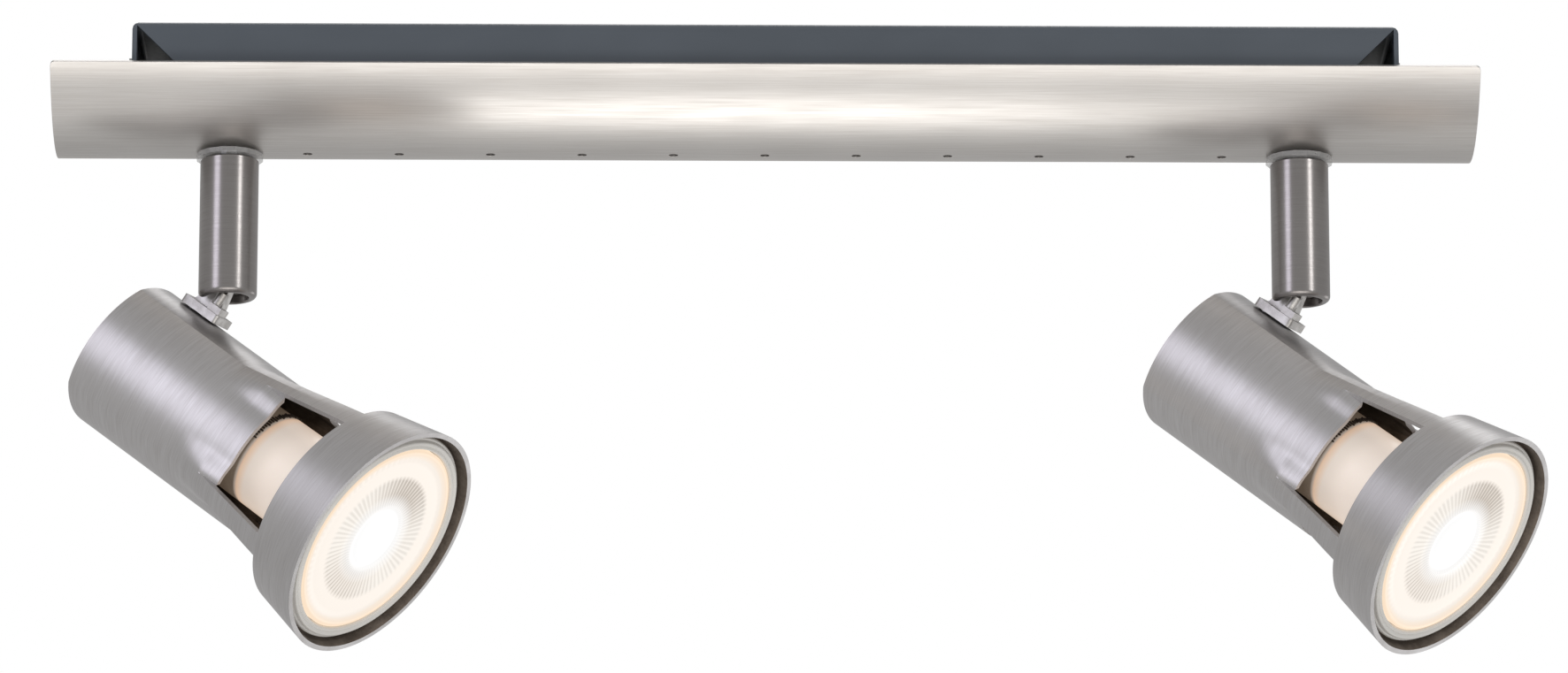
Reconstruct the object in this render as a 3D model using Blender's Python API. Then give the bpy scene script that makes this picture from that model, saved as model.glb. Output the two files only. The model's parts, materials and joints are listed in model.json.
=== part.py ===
"""Two-light ceiling bar: a curved cover over a mounting tray, with two tilting and turning GU10 spotlights.

Run with: blender --background --python part.py
Metres, +Z up. The origin is the middle of the tray's top face, which lies against the ceiling.
The bar runs along X and the front faces -Y.
"""

import math

import bmesh
import bpy
from mathutils import Matrix, Vector

for old in list(bpy.data.objects):
    bpy.data.objects.remove(old, do_unlink=True)

MM = 0.001
GAP = 0.3 * MM              # clearance between pieces that touch
THREAD_GAP = 0.15 * MM      # radial clearance that stands for a thread or a running fit
OVER = 1 * MM               # how far a hole's tool runs past the face it opens
SINK = 0.5 * MM             # how far two shapes of one piece run into each other
M4_HEAD = (3.6 * MM, 2.3 * MM)      # radius and height of an M4 pan head
M3_HEAD = (2.6 * MM, 1.7 * MM)      # the same for the small screws

# Cover: a strip of sheet rolled to an arc, hollow side up
BAR_LENGTH = 310 * MM
BAR_WIDTH = 50 * MM
BAR_DEPTH = 13.6 * MM
BAR_SHEET = 1.0 * MM
BAR_DROP = 24.0 * MM        # ceiling to the lowest line of the cover
BAR_CORNER = 1.0 * MM
VENT_COUNT = 11
VENT_PITCH = 20 * MM
VENT_RADIUS = 1.0 * MM

# Mounting tray: a folded steel lid, open side down
TRAY_LENGTH = 275 * MM
TRAY_WIDTH = 43 * MM
TRAY_DEPTH = 11.5 * MM
TRAY_SHEET = 1.0 * MM
TRAY_BEND = 2.0 * MM
FIXING_PITCH = 180 * MM     # between the two slots for the ceiling screws
FIXING_SLOT = 14 * MM
FIXING_WIDTH = 4.6 * MM
ENTRY_X = 42 * MM
ENTRY_RADIUS = 8 * MM
GROMMET_WALL = 2.2 * MM
GROMMET_LIP = 1.3 * MM
GROMMET_UNDER = 2.2 * MM
GROMMET_ROUND = 0.7 * MM

# Brackets and screws that hold the cover to the tray's end flanges
COVER_TAB_WIDTH = 12 * MM
COVER_TAB_SHEET = 1.2 * MM
COVER_TAB_FOOT = 8 * MM
COVER_TAB_RISE = 18 * MM
COVER_SCREW_RADIUS = 2.0 * MM
COVER_SCREW_LENGTH = 6 * MM
COVER_SCREW_Z = -7.0 * MM

# Terminal block and earth screw
BLOCK_X = -20 * MM
BLOCK_LENGTH = 30 * MM
BLOCK_WIDTH = 17 * MM
BLOCK_HEIGHT = 12.5 * MM
BLOCK_POLES = 3
POLE_PITCH = 9.5 * MM
POLE_HEIGHT = 5.0 * MM      # block's underside to the middle of the ways for the cores
POLE_RADIUS = 1.7 * MM
WELL_RADIUS = 1.5 * MM      # the wells that the terminal screws sit in
WELL_OFFSET = 4.0 * MM
EARTH_X = 12 * MM
EARTH_SCREW_RADIUS = 2.0 * MM

# Stems
STEM_PITCH = 234 * MM
STEM_RADIUS = 6.4 * MM
STEM_BORE = 4.6 * MM
STEM_LENGTH = 31.0 * MM
STEM_TOP_WALL = 2.5 * MM
STEM_EDGE = 1.1 * MM
STEM_SLOT_WIDTH = 6.4 * MM
WASHER_RADIUS = 7.35 * MM
WASHER_THICK = 1.1 * MM
NIPPLE_RADIUS = 3.0 * MM
NIPPLE_BORE = 2.0 * MM
NIPPLE_ABOVE = 7.0 * MM     # above the inside of the cover
NUT_ACROSS_FLATS = 10 * MM
NUT_HEIGHT = 3.0 * MM
LOCK_WASHER_RADIUS = 5.6 * MM
LOCK_WASHER_THICK = 0.8 * MM
RETAINER_HEIGHT = 2.2 * MM
FRICTION_WASHER = 0.6 * MM

# Swivel joint in the foot of the stem
PIVOT_ABOVE_FOOT = 4.2 * MM
PIN_RADIUS = 1.1 * MM
PIN_GAP = 0.05 * MM         # running clearance round the hinge pin
EYE_RADIUS = 2.4 * MM
EYE_THICK = 2.2 * MM
EYE_SHOULDER = math.radians(25)  # how far below its middle the eye stays round
CLEVIS_BASE = 5.0 * MM
# How each head hangs at rest: turned about its stem, then tilted down
REST = {"left": (math.radians(-26.0), math.radians(37.4)), "right": (math.radians(-31.0), math.radians(38.4))}

# Spot head, measured along the lamp's axis from the front rim (0) backwards (negative)
HEAD_LENGTH = 79.3 * MM
HEAD_FLAT = 17.0 * MM       # axis to the middle of each of the body's four sides
HEAD_SIDE_RADIUS = 21 * MM  # each side's own curve
HEAD_WALL = 1.1 * MM
HEAD_EDGE = 0.5 * MM
RIM_RADIUS = 27.2 * MM
RIM_SLOPE = 0.198
RING_DEPTH = 14.1 * MM
WINDOW_REAR = 31.9 * MM
FLANK_START = 37.0 * MM     # where the arm's side first stands clear of the body
ARM_HALF = math.radians(7.0)
HEAD_ROLL = math.radians(-9.5)   # the sides and arms stand turned from the hinge by this much
BLEND_HALF = math.radians(14)
PIVOT_TO_AXIS = 26.6 * MM
PIVOT_TO_REAR = 10.7 * MM

# Knuckle
FOOT_LENGTH = 10.5 * MM
FOOT_WIDTH = 7.0 * MM
FOOT_THICK = 1.9 * MM
WEB_LENGTH = 7.0 * MM
POST_RADIUS = 1.2 * MM
POST_FORWARD = 1.9 * MM
POST_SIDE = -1.3 * MM
POST_BASE = 3.4 * MM
POST_BASE_HEIGHT = 1.6 * MM
KNUCKLE_SCREW_BACK = 3.3 * MM
KNUCKLE_SCREW_RADIUS = 1.4 * MM
KNUCKLE_SCREW_SHORT = 0.8 * MM      # the screw stops this far below the foot's top
POST_TOP = 2.8 * MM         # below the hinge
POST_BASE_BACK = 0.6 * MM   # behind the foot's front edge

# Lampholder and its bracket
HOLDER_FRONT = 48.6 * MM
HOLDER_DEPTH = 13.6 * MM
HOLDER_RADIUS = 12.8 * MM
HOLDER_SCREW_OFFSET = 9.0 * MM
HOLDER_SCREW_RADIUS = 1.4 * MM
HOLDER_SINK = (2.9 * MM, 2.4 * MM)  # radius and depth of the well round each screw's head
HOLDER_CHAMFER = 0.8 * MM
HOLDER_PIN_ROOM = 0.35 * MM
HOLDER_WAY = 4 * MM         # how deep the lead enters
BRACKET_SHEET = 1.2 * MM
BRACKET_WIDTH = 12 * MM
BRACKET_REACH = 12 * MM     # down leg, past the axis
LEAD_HOLE_RADIUS = 2.1 * MM
CAP_THICK = 1.4 * MM
CAP_INSET = 1.2 * MM
CAP_VENTS = 6
CAP_VENT_REACH = (5 * MM, 11 * MM)
CAP_VENT_HALF = 0.8 * MM

# Lamp: GU10, 50 mm front
LAMP_RADIUS = 25.0 * MM
LAMP_FRONT = 1.0 * MM
LAMP_RIM = 2.6 * MM
LAMP_WALL = 1.1 * MM
LAMP_DISH_DEPTH = 13.0 * MM
LAMP_NECK_RADIUS = 11.1 * MM
NECK_TAIL = 10.8 * MM        # the neck's radius at its rear end
LAMP_NECK_END = 40.5 * MM
LAMP_BASE_END = 48.0 * MM
LENS_RADIUS = 22.0 * MM
LENS_THICK = 2.4 * MM
LENS_LEDGE = 1.2 * MM
LENS_SUNK = 0.4 * MM        # behind the glass's front edge
LENS_RING = (0.62, 0.56, 0.36, 0.30)    # the optic's ring, as shares of the lens radius
LENS_RING_DEPTH = 0.5 * MM
LENS_DOME = 0.25 * MM
BOARD_RADIUS = 9 * MM
BOARD_THICK = 1.6 * MM
BOARD_BEHIND_DISH = 2 * MM
DOME_RADIUS = 5 * MM        # clear dome over the chips
DOME_HEIGHT = 3.4 * MM
PIN_SPACING = 10 * MM
LAMP_PIN_RADIUS = 1.5 * MM
LAMP_PIN_HEAD = 2.5 * MM
LAMP_PIN_LENGTH = 6.8 * MM
LAMP_PIN_HEAD_LENGTH = 2.0 * MM
TWIST = math.radians(25)    # from locked to free

# Leads
LEAD_RADIUS = 1.4 * MM      # two cores in one sleeve
LEAD_EXIT = 8.6 * MM        # from the lampholder's axis to the lead

SIDES = (("left", -1), ("right", 1))
ROUND = 24                  # sides of a round piece
PIN_ROUND = 16
SMALL_ROUND = 12
SHARP = math.radians(35)

BAR_RADIUS = ((BAR_WIDTH / 2) ** 2 + BAR_DEPTH**2) / (2 * BAR_DEPTH)
BAR_CENTRE_Z = BAR_RADIUS - BAR_DROP
BAR_HALF_ANGLE = math.asin(BAR_WIDTH / 2 / BAR_RADIUS)
STEM_TOP = -BAR_DROP - GAP - WASHER_THICK - GAP
STEM_BOTTOM = STEM_TOP - STEM_LENGTH
PIVOT_Z = STEM_BOTTOM + PIVOT_ABOVE_FOOT
PIVOT_BACK = HEAD_LENGTH - PIVOT_TO_REAR


# ---------------------------------------------------------------- materials

def material(name, colour, roughness, metallic, glow=0.0):
    made = bpy.data.materials.new(name)
    made.use_nodes = True
    shader = made.node_tree.nodes["Principled BSDF"]
    shader.inputs["Base Color"].default_value = (*colour, 1)
    shader.inputs["Roughness"].default_value = roughness
    shader.inputs["Metallic"].default_value = metallic
    if glow:
        shader.inputs["Emission Color"].default_value = (*colour, 1)
        shader.inputs["Emission Strength"].default_value = glow
    return made


BRUSHED_NICKEL = material("brushed_nickel", (0.62, 0.60, 0.58), 0.35, 1.0)
DARK_NICKEL = material("stem_nickel", (0.42, 0.40, 0.39), 0.30, 1.0)
GREY_ENAMEL = material("grey_enamel", (0.08, 0.095, 0.115), 0.5, 0.0)
ZINC = material("cast_zinc", (0.55, 0.54, 0.53), 0.4, 1.0)
STEEL = material("zinc_plated_steel", (0.6, 0.6, 0.6), 0.35, 1.0)
BRASS = material("brass", (0.7, 0.5, 0.22), 0.35, 1.0)
CERAMIC = material("ceramic", (0.82, 0.80, 0.75), 0.6, 0.0)
PLASTIC = material("white_plastic", (0.8, 0.8, 0.78), 0.5, 0.0)
RUBBER = material("black_rubber", (0.03, 0.03, 0.03), 0.8, 0.0)
CLEAR_PLASTIC = material("clear_plastic", (0.75, 0.76, 0.77), 0.3, 0.0)
GLASS = material("frosted_glass", (0.85, 0.78, 0.70), 0.35, 0.0, 0.3)
LENS = material("lit_lens", (1.0, 0.95, 0.86), 0.2, 0.0, 2.0)
LED = material("led_board", (0.9, 0.85, 0.5), 0.5, 0.0, 1.0)
SLEEVE = material("lead_sleeve", (0.75, 0.73, 0.70), 0.6, 0.0)


# ---------------------------------------------------------------- building blocks

def empty(name, parent=None, location=(0, 0, 0), rotation=(0, 0, 0)):
    made = bpy.data.objects.new(name, None)
    made.empty_display_size = 0.01
    made.parent = parent
    made.location = location
    made.rotation_euler = rotation
    bpy.context.scene.collection.objects.link(made)
    return made


def finish(bm, name, finish_material, parent=None, location=(0, 0, 0)):
    """Turns a bmesh into a named object with its material, under its parent."""
    bmesh.ops.recalc_face_normals(bm, faces=bm.faces)
    mesh = bpy.data.meshes.new(name)
    bm.to_mesh(mesh)
    bm.free()
    mesh.shade_smooth()
    mesh.set_sharp_from_angle(angle=SHARP)
    mesh.materials.append(finish_material)
    made = bpy.data.objects.new(name, mesh)
    made.parent = parent
    made.location = location
    bpy.context.scene.collection.objects.link(made)
    return made


def boolean(target, bm, operation, parent=None, location=(0, 0, 0)):
    """Cuts the target with a hidden tool body, or joins the body to it."""
    tool = finish(bm, f"tool_{target.name}_{len(target.modifiers)}", STEEL, parent, location)
    tool.hide_render = True
    tool.display_type = "WIRE"
    modifier = target.modifiers.new(operation.lower(), "BOOLEAN")
    modifier.operation = operation
    modifier.solver = "EXACT"
    modifier.object = tool


def combine(pieces):
    """One bmesh that holds every given bmesh as its own closed body."""
    result = bmesh.new()
    for piece in pieces:
        mesh = bpy.data.meshes.new("piece")
        piece.to_mesh(mesh)
        piece.free()
        result.from_mesh(mesh)
        bpy.data.meshes.remove(mesh)
    return result


def moved(bm, x=0.0, y=0.0, z=0.0, turn=0.0, axis="Z"):
    """Turns a bmesh about an axis through the origin, then shifts it."""
    matrix = Matrix.Translation((x, y, z)) @ Matrix.Rotation(turn, 4, axis)
    bmesh.ops.transform(bm, matrix=matrix, verts=bm.verts)
    return bm


def block(x_range, y_range, z_range):
    bm = bmesh.new()
    bmesh.ops.create_cube(bm, size=1.0)
    low = Vector((x_range[0], y_range[0], z_range[0]))
    high = Vector((x_range[1], y_range[1], z_range[1]))
    for vert in bm.verts:
        vert.co = Vector(low[i] if vert.co[i] < 0 else high[i] for i in range(3))
    return bm


def arc(centre, radius, start, end, steps):
    """Points of an arc in a plane, from the start angle to the end angle."""
    angles = [start + (end - start) * i / steps for i in range(steps + 1)]
    return [(centre[0] + radius * math.cos(a), centre[1] + radius * math.sin(a)) for a in angles]


def prism(outline, low, high, along):
    """A flat outline drawn straight from low to high along an axis."""
    order = {"X": lambda a, b, c: (c, a, b), "Y": lambda a, b, c: (a, c, b), "Z": lambda a, b, c: (a, b, c)}
    bm = bmesh.new()
    ends = [[bm.verts.new(order[along](a, b, c)) for a, b in outline] for c in (low, high)]
    bm.faces.new(ends[0])
    bm.faces.new(ends[1])
    count = len(outline)
    for i in range(count):
        j = (i + 1) % count
        bm.faces.new((ends[0][i], ends[0][j], ends[1][j], ends[1][i]))
    return bm


def turned(profile, closed=False, steps=ROUND, along="X"):
    """Turns (place, radius) points about an axis.

    A closed profile makes a ring; an open one starts and ends on the axis, or gets flat ends.
    """
    bm = bmesh.new()
    rings = []
    for place, radius in profile:
        count = steps if radius > 0 else 1
        ring = []
        for i in range(count):
            angle = math.tau * (i + 0.5) / steps
            a, b = radius * math.cos(angle), radius * math.sin(angle)
            ring.append(bm.verts.new((place, a, b) if along == "X" else (a, b, place)))
        rings.append(ring)
    pairs = list(zip(rings, rings[1:] + rings[:1])) if closed else list(zip(rings, rings[1:]))
    for first, second in pairs:
        for i in range(steps):
            j = (i + 1) % steps
            if len(first) == 1:
                bm.faces.new((first[0], second[j], second[i]))
            elif len(second) == 1:
                bm.faces.new((first[i], first[j], second[0]))
            else:
                bm.faces.new((first[i], first[j], second[j], second[i]))
    if not closed:
        for ring in (rings[0], rings[-1]):
            if len(ring) > 1:
                bm.faces.new(ring)
    return bm


def rod(radius, low, high, along="Z", steps=SMALL_ROUND):
    return turned([(low, radius), (high, radius)], steps=steps, along=along)


def tube(outer, inner, low, high, along="Z", steps=PIN_ROUND):
    profile = [(low, outer), (high, outer), (high, inner), (low, inner)]
    return turned(profile, closed=True, steps=steps, along=along)


def screw(radius, length, head_radius, head_height, along="Z", towards=1):
    """A plain screw: its head starts at 0 and its shank runs the other way."""
    profile = [
        (-length * towards, 0),
        (-length * towards, radius),
        (0, radius),
        (0, head_radius),
        (head_height * 0.6 * towards, head_radius),
        (head_height * towards, head_radius * 0.75),
        (head_height * towards, 0),
    ]
    return turned(profile, steps=SMALL_ROUND, along=along)


def hexagon_nut(across_flats, bore, low, high):
    radius = across_flats / 2 / math.cos(math.pi / 6)
    bm = prism(arc((0, 0), radius, 0, math.tau * 5 / 6, 5), low, high, "Z")
    return bm, rod(bore, low - MM, high + MM)


def wire(points, smoothing=3):
    """A round lead along a smooth curve through the given points."""
    path = []
    count = len(points)
    for i in range(count - 1):
        p0, p1 = Vector(points[max(i - 1, 0)]), Vector(points[i])
        p2, p3 = Vector(points[i + 1]), Vector(points[min(i + 2, count - 1)])
        for step in range(smoothing):
            t = step / smoothing
            path.append(
                0.5 * ((2 * p1) + (p2 - p0) * t + (2 * p0 - 5 * p1 + 4 * p2 - p3) * t * t
                       + (3 * p1 - p0 - 3 * p2 + p3) * t**3)
            )
    path.append(Vector(points[-1]))
    bm = bmesh.new()
    rings = []
    side = Vector((0, 0, 1))
    for i, point in enumerate(path):
        ahead = (path[min(i + 1, len(path) - 1)] - path[max(i - 1, 0)]).normalized()
        side = (side - ahead * side.dot(ahead)).normalized()
        other = ahead.cross(side)
        turns = [math.tau * k / 8 for k in range(8)]
        rings.append([bm.verts.new(point + LEAD_RADIUS * (side * math.cos(a) + other * math.sin(a)))
                      for a in turns])
    for first, second in zip(rings, rings[1:]):
        for k in range(8):
            bm.faces.new((first[k], first[(k + 1) % 8], second[(k + 1) % 8], second[k]))
    bm.faces.new(rings[0])
    bm.faces.new(rings[-1])
    return bm


# ---------------------------------------------------------------- cover and tray

def bar_surface(y, sheet=0.0):
    """Height of the cover's underside, or of its inner face when the sheet is given."""
    return BAR_CENTRE_Z - math.sqrt((BAR_RADIUS - sheet) ** 2 - y * y)


def make_bar_cover():
    half = BAR_HALF_ANGLE
    middle = -math.pi / 2
    centre = (0, BAR_CENTRE_Z)
    outside = arc(centre, BAR_RADIUS, middle - half, middle + half, 20)
    inside = arc(centre, BAR_RADIUS - BAR_SHEET, middle + half, middle - half, 20)
    bm = prism(outside + inside, -BAR_LENGTH / 2, BAR_LENGTH / 2, "X")
    corners = []
    for edge in bm.edges:
        ends = [vert.co for vert in edge.verts]
        through = abs((ends[0] - ends[1]).length - BAR_SHEET) < BAR_SHEET / 10
        at_end = all(abs(abs(end.x) - BAR_LENGTH / 2) < MM / 100 for end in ends)
        if through and at_end:
            corners.append(edge)
    bmesh.ops.bevel(bm, geom=corners, offset=BAR_CORNER, segments=3, profile=0.5, affect="EDGES",
                    material=-1)
    cover = finish(bm, "bar_cover", BRUSHED_NICKEL)
    holes = [rod(VENT_RADIUS, -BAR_DROP - OVER, -BAR_DROP + 3 * OVER, steps=12) for _ in range(VENT_COUNT)]
    for i, hole in enumerate(holes):
        moved(hole, x=(i - (VENT_COUNT - 1) / 2) * VENT_PITCH)
    holes += [moved(rod(NIPPLE_RADIUS + GAP, -BAR_DROP - OVER, -BAR_DROP + 3 * OVER), x=side * STEM_PITCH / 2)
              for side in (-1, 1)]
    boolean(cover, combine(holes), "DIFFERENCE")


def rounded_u(half_width, radius, top, bottom):
    """Outline of a U drawn open side down: two straight sides and two rounded top corners."""
    right = arc((half_width - radius, top - radius), radius, 0, math.pi / 2, 4)
    left = arc((-half_width + radius, top - radius), radius, math.pi / 2, math.pi, 4)
    return [(half_width, bottom)] + right + left + [(-half_width, bottom)]


def make_mounting_tray():
    half_length, half_width = TRAY_LENGTH / 2, TRAY_WIDTH / 2
    bottom = -TRAY_DEPTH
    tray = finish(prism(rounded_u(half_length, TRAY_BEND, 0, bottom), -half_width, half_width, "Y"),
                  "mounting_tray", GREY_ENAMEL)
    across = prism(rounded_u(half_width, TRAY_BEND, 0, bottom - MM), -half_length - MM, half_length + MM, "X")
    boolean(tray, across, "INTERSECT")
    inner_bend = TRAY_BEND - TRAY_SHEET
    hollow = prism(rounded_u(half_length - TRAY_SHEET, inner_bend, -TRAY_SHEET, bottom - MM),
                   -half_width + TRAY_SHEET, half_width - TRAY_SHEET, "Y")
    boolean(tray, hollow, "DIFFERENCE")
    mitres = []
    for end in (-1, 1):
        inner = half_length - TRAY_SHEET
        reach = TRAY_DEPTH + MM - TRAY_SHEET
        outline = [(end * inner, -TRAY_SHEET), (end * inner, -TRAY_SHEET - reach),
                   (end * (inner - reach), -TRAY_SHEET - reach)]
        for side in (-1, 1):
            low, high = sorted((side * (half_width - 2 * TRAY_SHEET), side * (half_width + MM)))
            mitres.append(prism(outline, low, high, "Y"))
    boolean(tray, combine(mitres), "DIFFERENCE")
    holes = [moved(rod(ENTRY_RADIUS, -3 * OVER, OVER, steps=ROUND), x=ENTRY_X)]
    slot_half = (FIXING_SLOT - FIXING_WIDTH) / 2
    radius = FIXING_WIDTH / 2
    slot = arc((slot_half, 0), radius, -math.pi / 2, math.pi / 2, 6)
    slot += arc((-slot_half, 0), radius, math.pi / 2, 3 * math.pi / 2, 6)
    for side in (-1, 1):
        holes.append(moved(prism(slot, -3 * OVER, OVER, "Z"), x=side * FIXING_PITCH / 2))
        holes.append(moved(rod(COVER_SCREW_RADIUS + GAP, -2 * OVER, 2 * OVER, "X"),
                           x=side * half_length, z=COVER_SCREW_Z))
    holes.append(moved(rod(EARTH_SCREW_RADIUS + GAP, -3 * OVER, OVER), x=EARTH_X))
    boolean(tray, combine(holes), "DIFFERENCE")


def make_entry_grommet():
    groove = ENTRY_RADIUS - GAP
    lip = ENTRY_RADIUS + GROMMET_LIP
    bore = ENTRY_RADIUS - GROMMET_WALL
    under = -TRAY_SHEET - GAP
    profile = [(0, groove), (under, groove), (under, lip), (under - GROMMET_UNDER + GROMMET_ROUND, lip),
               (under - GROMMET_UNDER, lip - GROMMET_ROUND), (under - GROMMET_UNDER, bore), (0, bore)]
    finish(turned(profile, closed=True, along="Z"), "entry_grommet", RUBBER, location=(ENTRY_X, 0, 0))


def make_cover_fixings():
    """A tab stands inside each end of the cover, and a screw through the tray's end flange holds it."""
    half = TRAY_LENGTH / 2
    foot_z = bar_surface(COVER_TAB_WIDTH / 2, BAR_SHEET) + GAP
    for name, side in SIDES:
        near = half + GAP
        top = foot_z + COVER_TAB_RISE
        outline = [(near, foot_z), (near + COVER_TAB_FOOT, foot_z),
                   (near + COVER_TAB_FOOT, foot_z + COVER_TAB_SHEET),
                   (near + COVER_TAB_SHEET, foot_z + COVER_TAB_SHEET),
                   (near + COVER_TAB_SHEET, top), (near, top)]
        outline = [(side * x, z) for x, z in outline]
        tab = prism(outline, -COVER_TAB_WIDTH / 2, COVER_TAB_WIDTH / 2, "Y")
        tab = finish(tab, f"cover_tab_{name}", STEEL)
        hole = rod(COVER_SCREW_RADIUS + THREAD_GAP, -3 * OVER, 3 * OVER, "X")
        boolean(tab, moved(hole, x=side * near, z=COVER_SCREW_Z), "DIFFERENCE")
        fixing = screw(COVER_SCREW_RADIUS, COVER_SCREW_LENGTH, *M4_HEAD, "X", side)
        finish(fixing, f"cover_screw_{name}", STEEL,
               location=(side * (near + COVER_TAB_SHEET + GAP), 0, COVER_SCREW_Z))


def make_terminal_block():
    top = -TRAY_SHEET - GAP
    low = top - BLOCK_HEIGHT
    body = block((-BLOCK_LENGTH / 2, BLOCK_LENGTH / 2), (-BLOCK_WIDTH / 2, BLOCK_WIDTH / 2), (low, top))
    body = finish(body, "terminal_block", PLASTIC, location=(BLOCK_X, 0, 0))
    poles = [(i - (BLOCK_POLES - 1) / 2) * POLE_PITCH for i in range(BLOCK_POLES)]
    middle = low + POLE_HEIGHT
    ways = [moved(rod(POLE_RADIUS, -BLOCK_WIDTH, BLOCK_WIDTH, "X"), x=x, z=middle, turn=math.pi / 2)
            for x in poles]
    boolean(body, combine(ways), "DIFFERENCE", location=(BLOCK_X, 0, 0))
    wells = [moved(rod(WELL_RADIUS, low - MM, middle), x=x, y=side * WELL_OFFSET)
             for x in poles for side in (-1, 1)]
    boolean(body, combine(wells), "DIFFERENCE", location=(BLOCK_X, 0, 0))


def make_earth_screw():
    made = screw(EARTH_SCREW_RADIUS, TRAY_SHEET, *M4_HEAD, "Z", -1)
    finish(made, "earth_screw", BRASS, location=(EARTH_X, 0, -TRAY_SHEET - GAP))


# ---------------------------------------------------------------- stems

def make_stem_fixings(name, stem):
    """The hollow nipple and what it clamps: all of these stay with the cover."""
    seat = bar_surface(LOCK_WASHER_RADIUS, BAR_SHEET) + GAP
    nut_low = seat + LOCK_WASHER_THICK + GAP
    nipple_top = -BAR_DROP + BAR_SHEET + NIPPLE_ABOVE
    plate_low = STEM_TOP - STEM_TOP_WALL
    retainer_top = plate_low - GAP - FRICTION_WASHER - GAP
    nipple_low = retainer_top - RETAINER_HEIGHT - 0.6 * MM
    thread_bore = NIPPLE_RADIUS + THREAD_GAP
    finish(tube(NIPPLE_RADIUS, NIPPLE_BORE, nipple_low, nipple_top), f"nipple_{name}", STEEL, stem)
    finish(tube(LOCK_WASHER_RADIUS, thread_bore, seat, seat + LOCK_WASHER_THICK), f"lock_washer_{name}",
           STEEL, stem)
    nut, bore = hexagon_nut(NUT_ACROSS_FLATS, thread_bore, nut_low, nut_low + NUT_HEIGHT)
    made = finish(nut, f"nipple_nut_{name}", STEEL, stem)
    boolean(made, bore, "DIFFERENCE", stem)
    finish(tube(WASHER_RADIUS, thread_bore, STEM_TOP + GAP, STEM_TOP + GAP + WASHER_THICK),
           f"stem_washer_{name}", CLEAR_PLASTIC, stem)
    finish(tube(STEM_BORE - GAP, thread_bore, retainer_top + GAP, retainer_top + GAP + FRICTION_WASHER),
           f"friction_washer_{name}", STEEL, stem)
    finish(tube(STEM_BORE - GAP, thread_bore, retainer_top - RETAINER_HEIGHT, retainer_top),
           f"retaining_nut_{name}", BRASS, stem)
    return nipple_low, nipple_top


def make_stem_tube(name, pan):
    plate_low = STEM_TOP - STEM_TOP_WALL
    edge = arc((STEM_BOTTOM + STEM_EDGE, STEM_RADIUS - STEM_EDGE), STEM_EDGE, math.pi / 2, math.pi, 4)
    profile = [(STEM_TOP, NIPPLE_RADIUS + GAP), (STEM_TOP, STEM_RADIUS)] + edge
    profile += [(STEM_BOTTOM, STEM_BORE), (plate_low, STEM_BORE), (plate_low, NIPPLE_RADIUS + GAP)]
    made = finish(turned(profile, closed=True, along="Z"), f"stem_tube_{name}", DARK_NICKEL, pan)
    top = PIVOT_Z + WEB_LENGTH / 2 + 3 * GAP
    slot = block((-STEM_RADIUS - MM, -STEM_BORE / 2), (-STEM_SLOT_WIDTH / 2, STEM_SLOT_WIDTH / 2),
                 (STEM_BOTTOM - MM, top))
    boolean(made, slot, "DIFFERENCE", pan)


def make_clevis(name, pan):
    """The fork pressed into the stem: its two ears carry the hinge pin."""
    radius = STEM_BORE - GAP
    base_low = PIVOT_Z + EYE_RADIUS + 4 * GAP
    ear_low = PIVOT_Z - EYE_RADIUS
    made = finish(rod(radius, ear_low - MM, base_low + CLEVIS_BASE, steps=ROUND), f"clevis_{name}", ZINC, pan)
    gap_half = EYE_THICK / 2 + GAP
    gap = block((-2 * radius, 2 * radius), (-gap_half, gap_half), (ear_low - 2 * MM, base_low))
    boolean(made, gap, "DIFFERENCE", pan)
    wide = 2 * radius
    around = [(-wide, base_low), (-EYE_RADIUS, base_low)]
    around += arc((0, PIVOT_Z), EYE_RADIUS, math.pi, math.tau, 10)
    around += [(EYE_RADIUS, base_low), (wide, base_low), (wide, ear_low - 2 * MM), (-wide, ear_low - 2 * MM)]
    boolean(made, prism(around, -wide, wide, "Y"), "DIFFERENCE", pan)
    bores = [rod(NIPPLE_BORE, base_low - MM, base_low + CLEVIS_BASE + MM)]
    bores.append(moved(rod(PIN_RADIUS + PIN_GAP, -2 * radius, 2 * radius, "X", PIN_ROUND), turn=math.pi / 2,
                       z=PIVOT_Z))
    boolean(made, combine(bores), "DIFFERENCE", pan)
    reach = math.sqrt(radius**2 - PIN_RADIUS**2) - GAP / 2
    pin = moved(rod(PIN_RADIUS, -reach, reach, "X", PIN_ROUND), turn=math.pi / 2)
    finish(pin, f"hinge_pin_{name}", STEEL, pan, (0, 0, PIVOT_Z))


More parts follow.
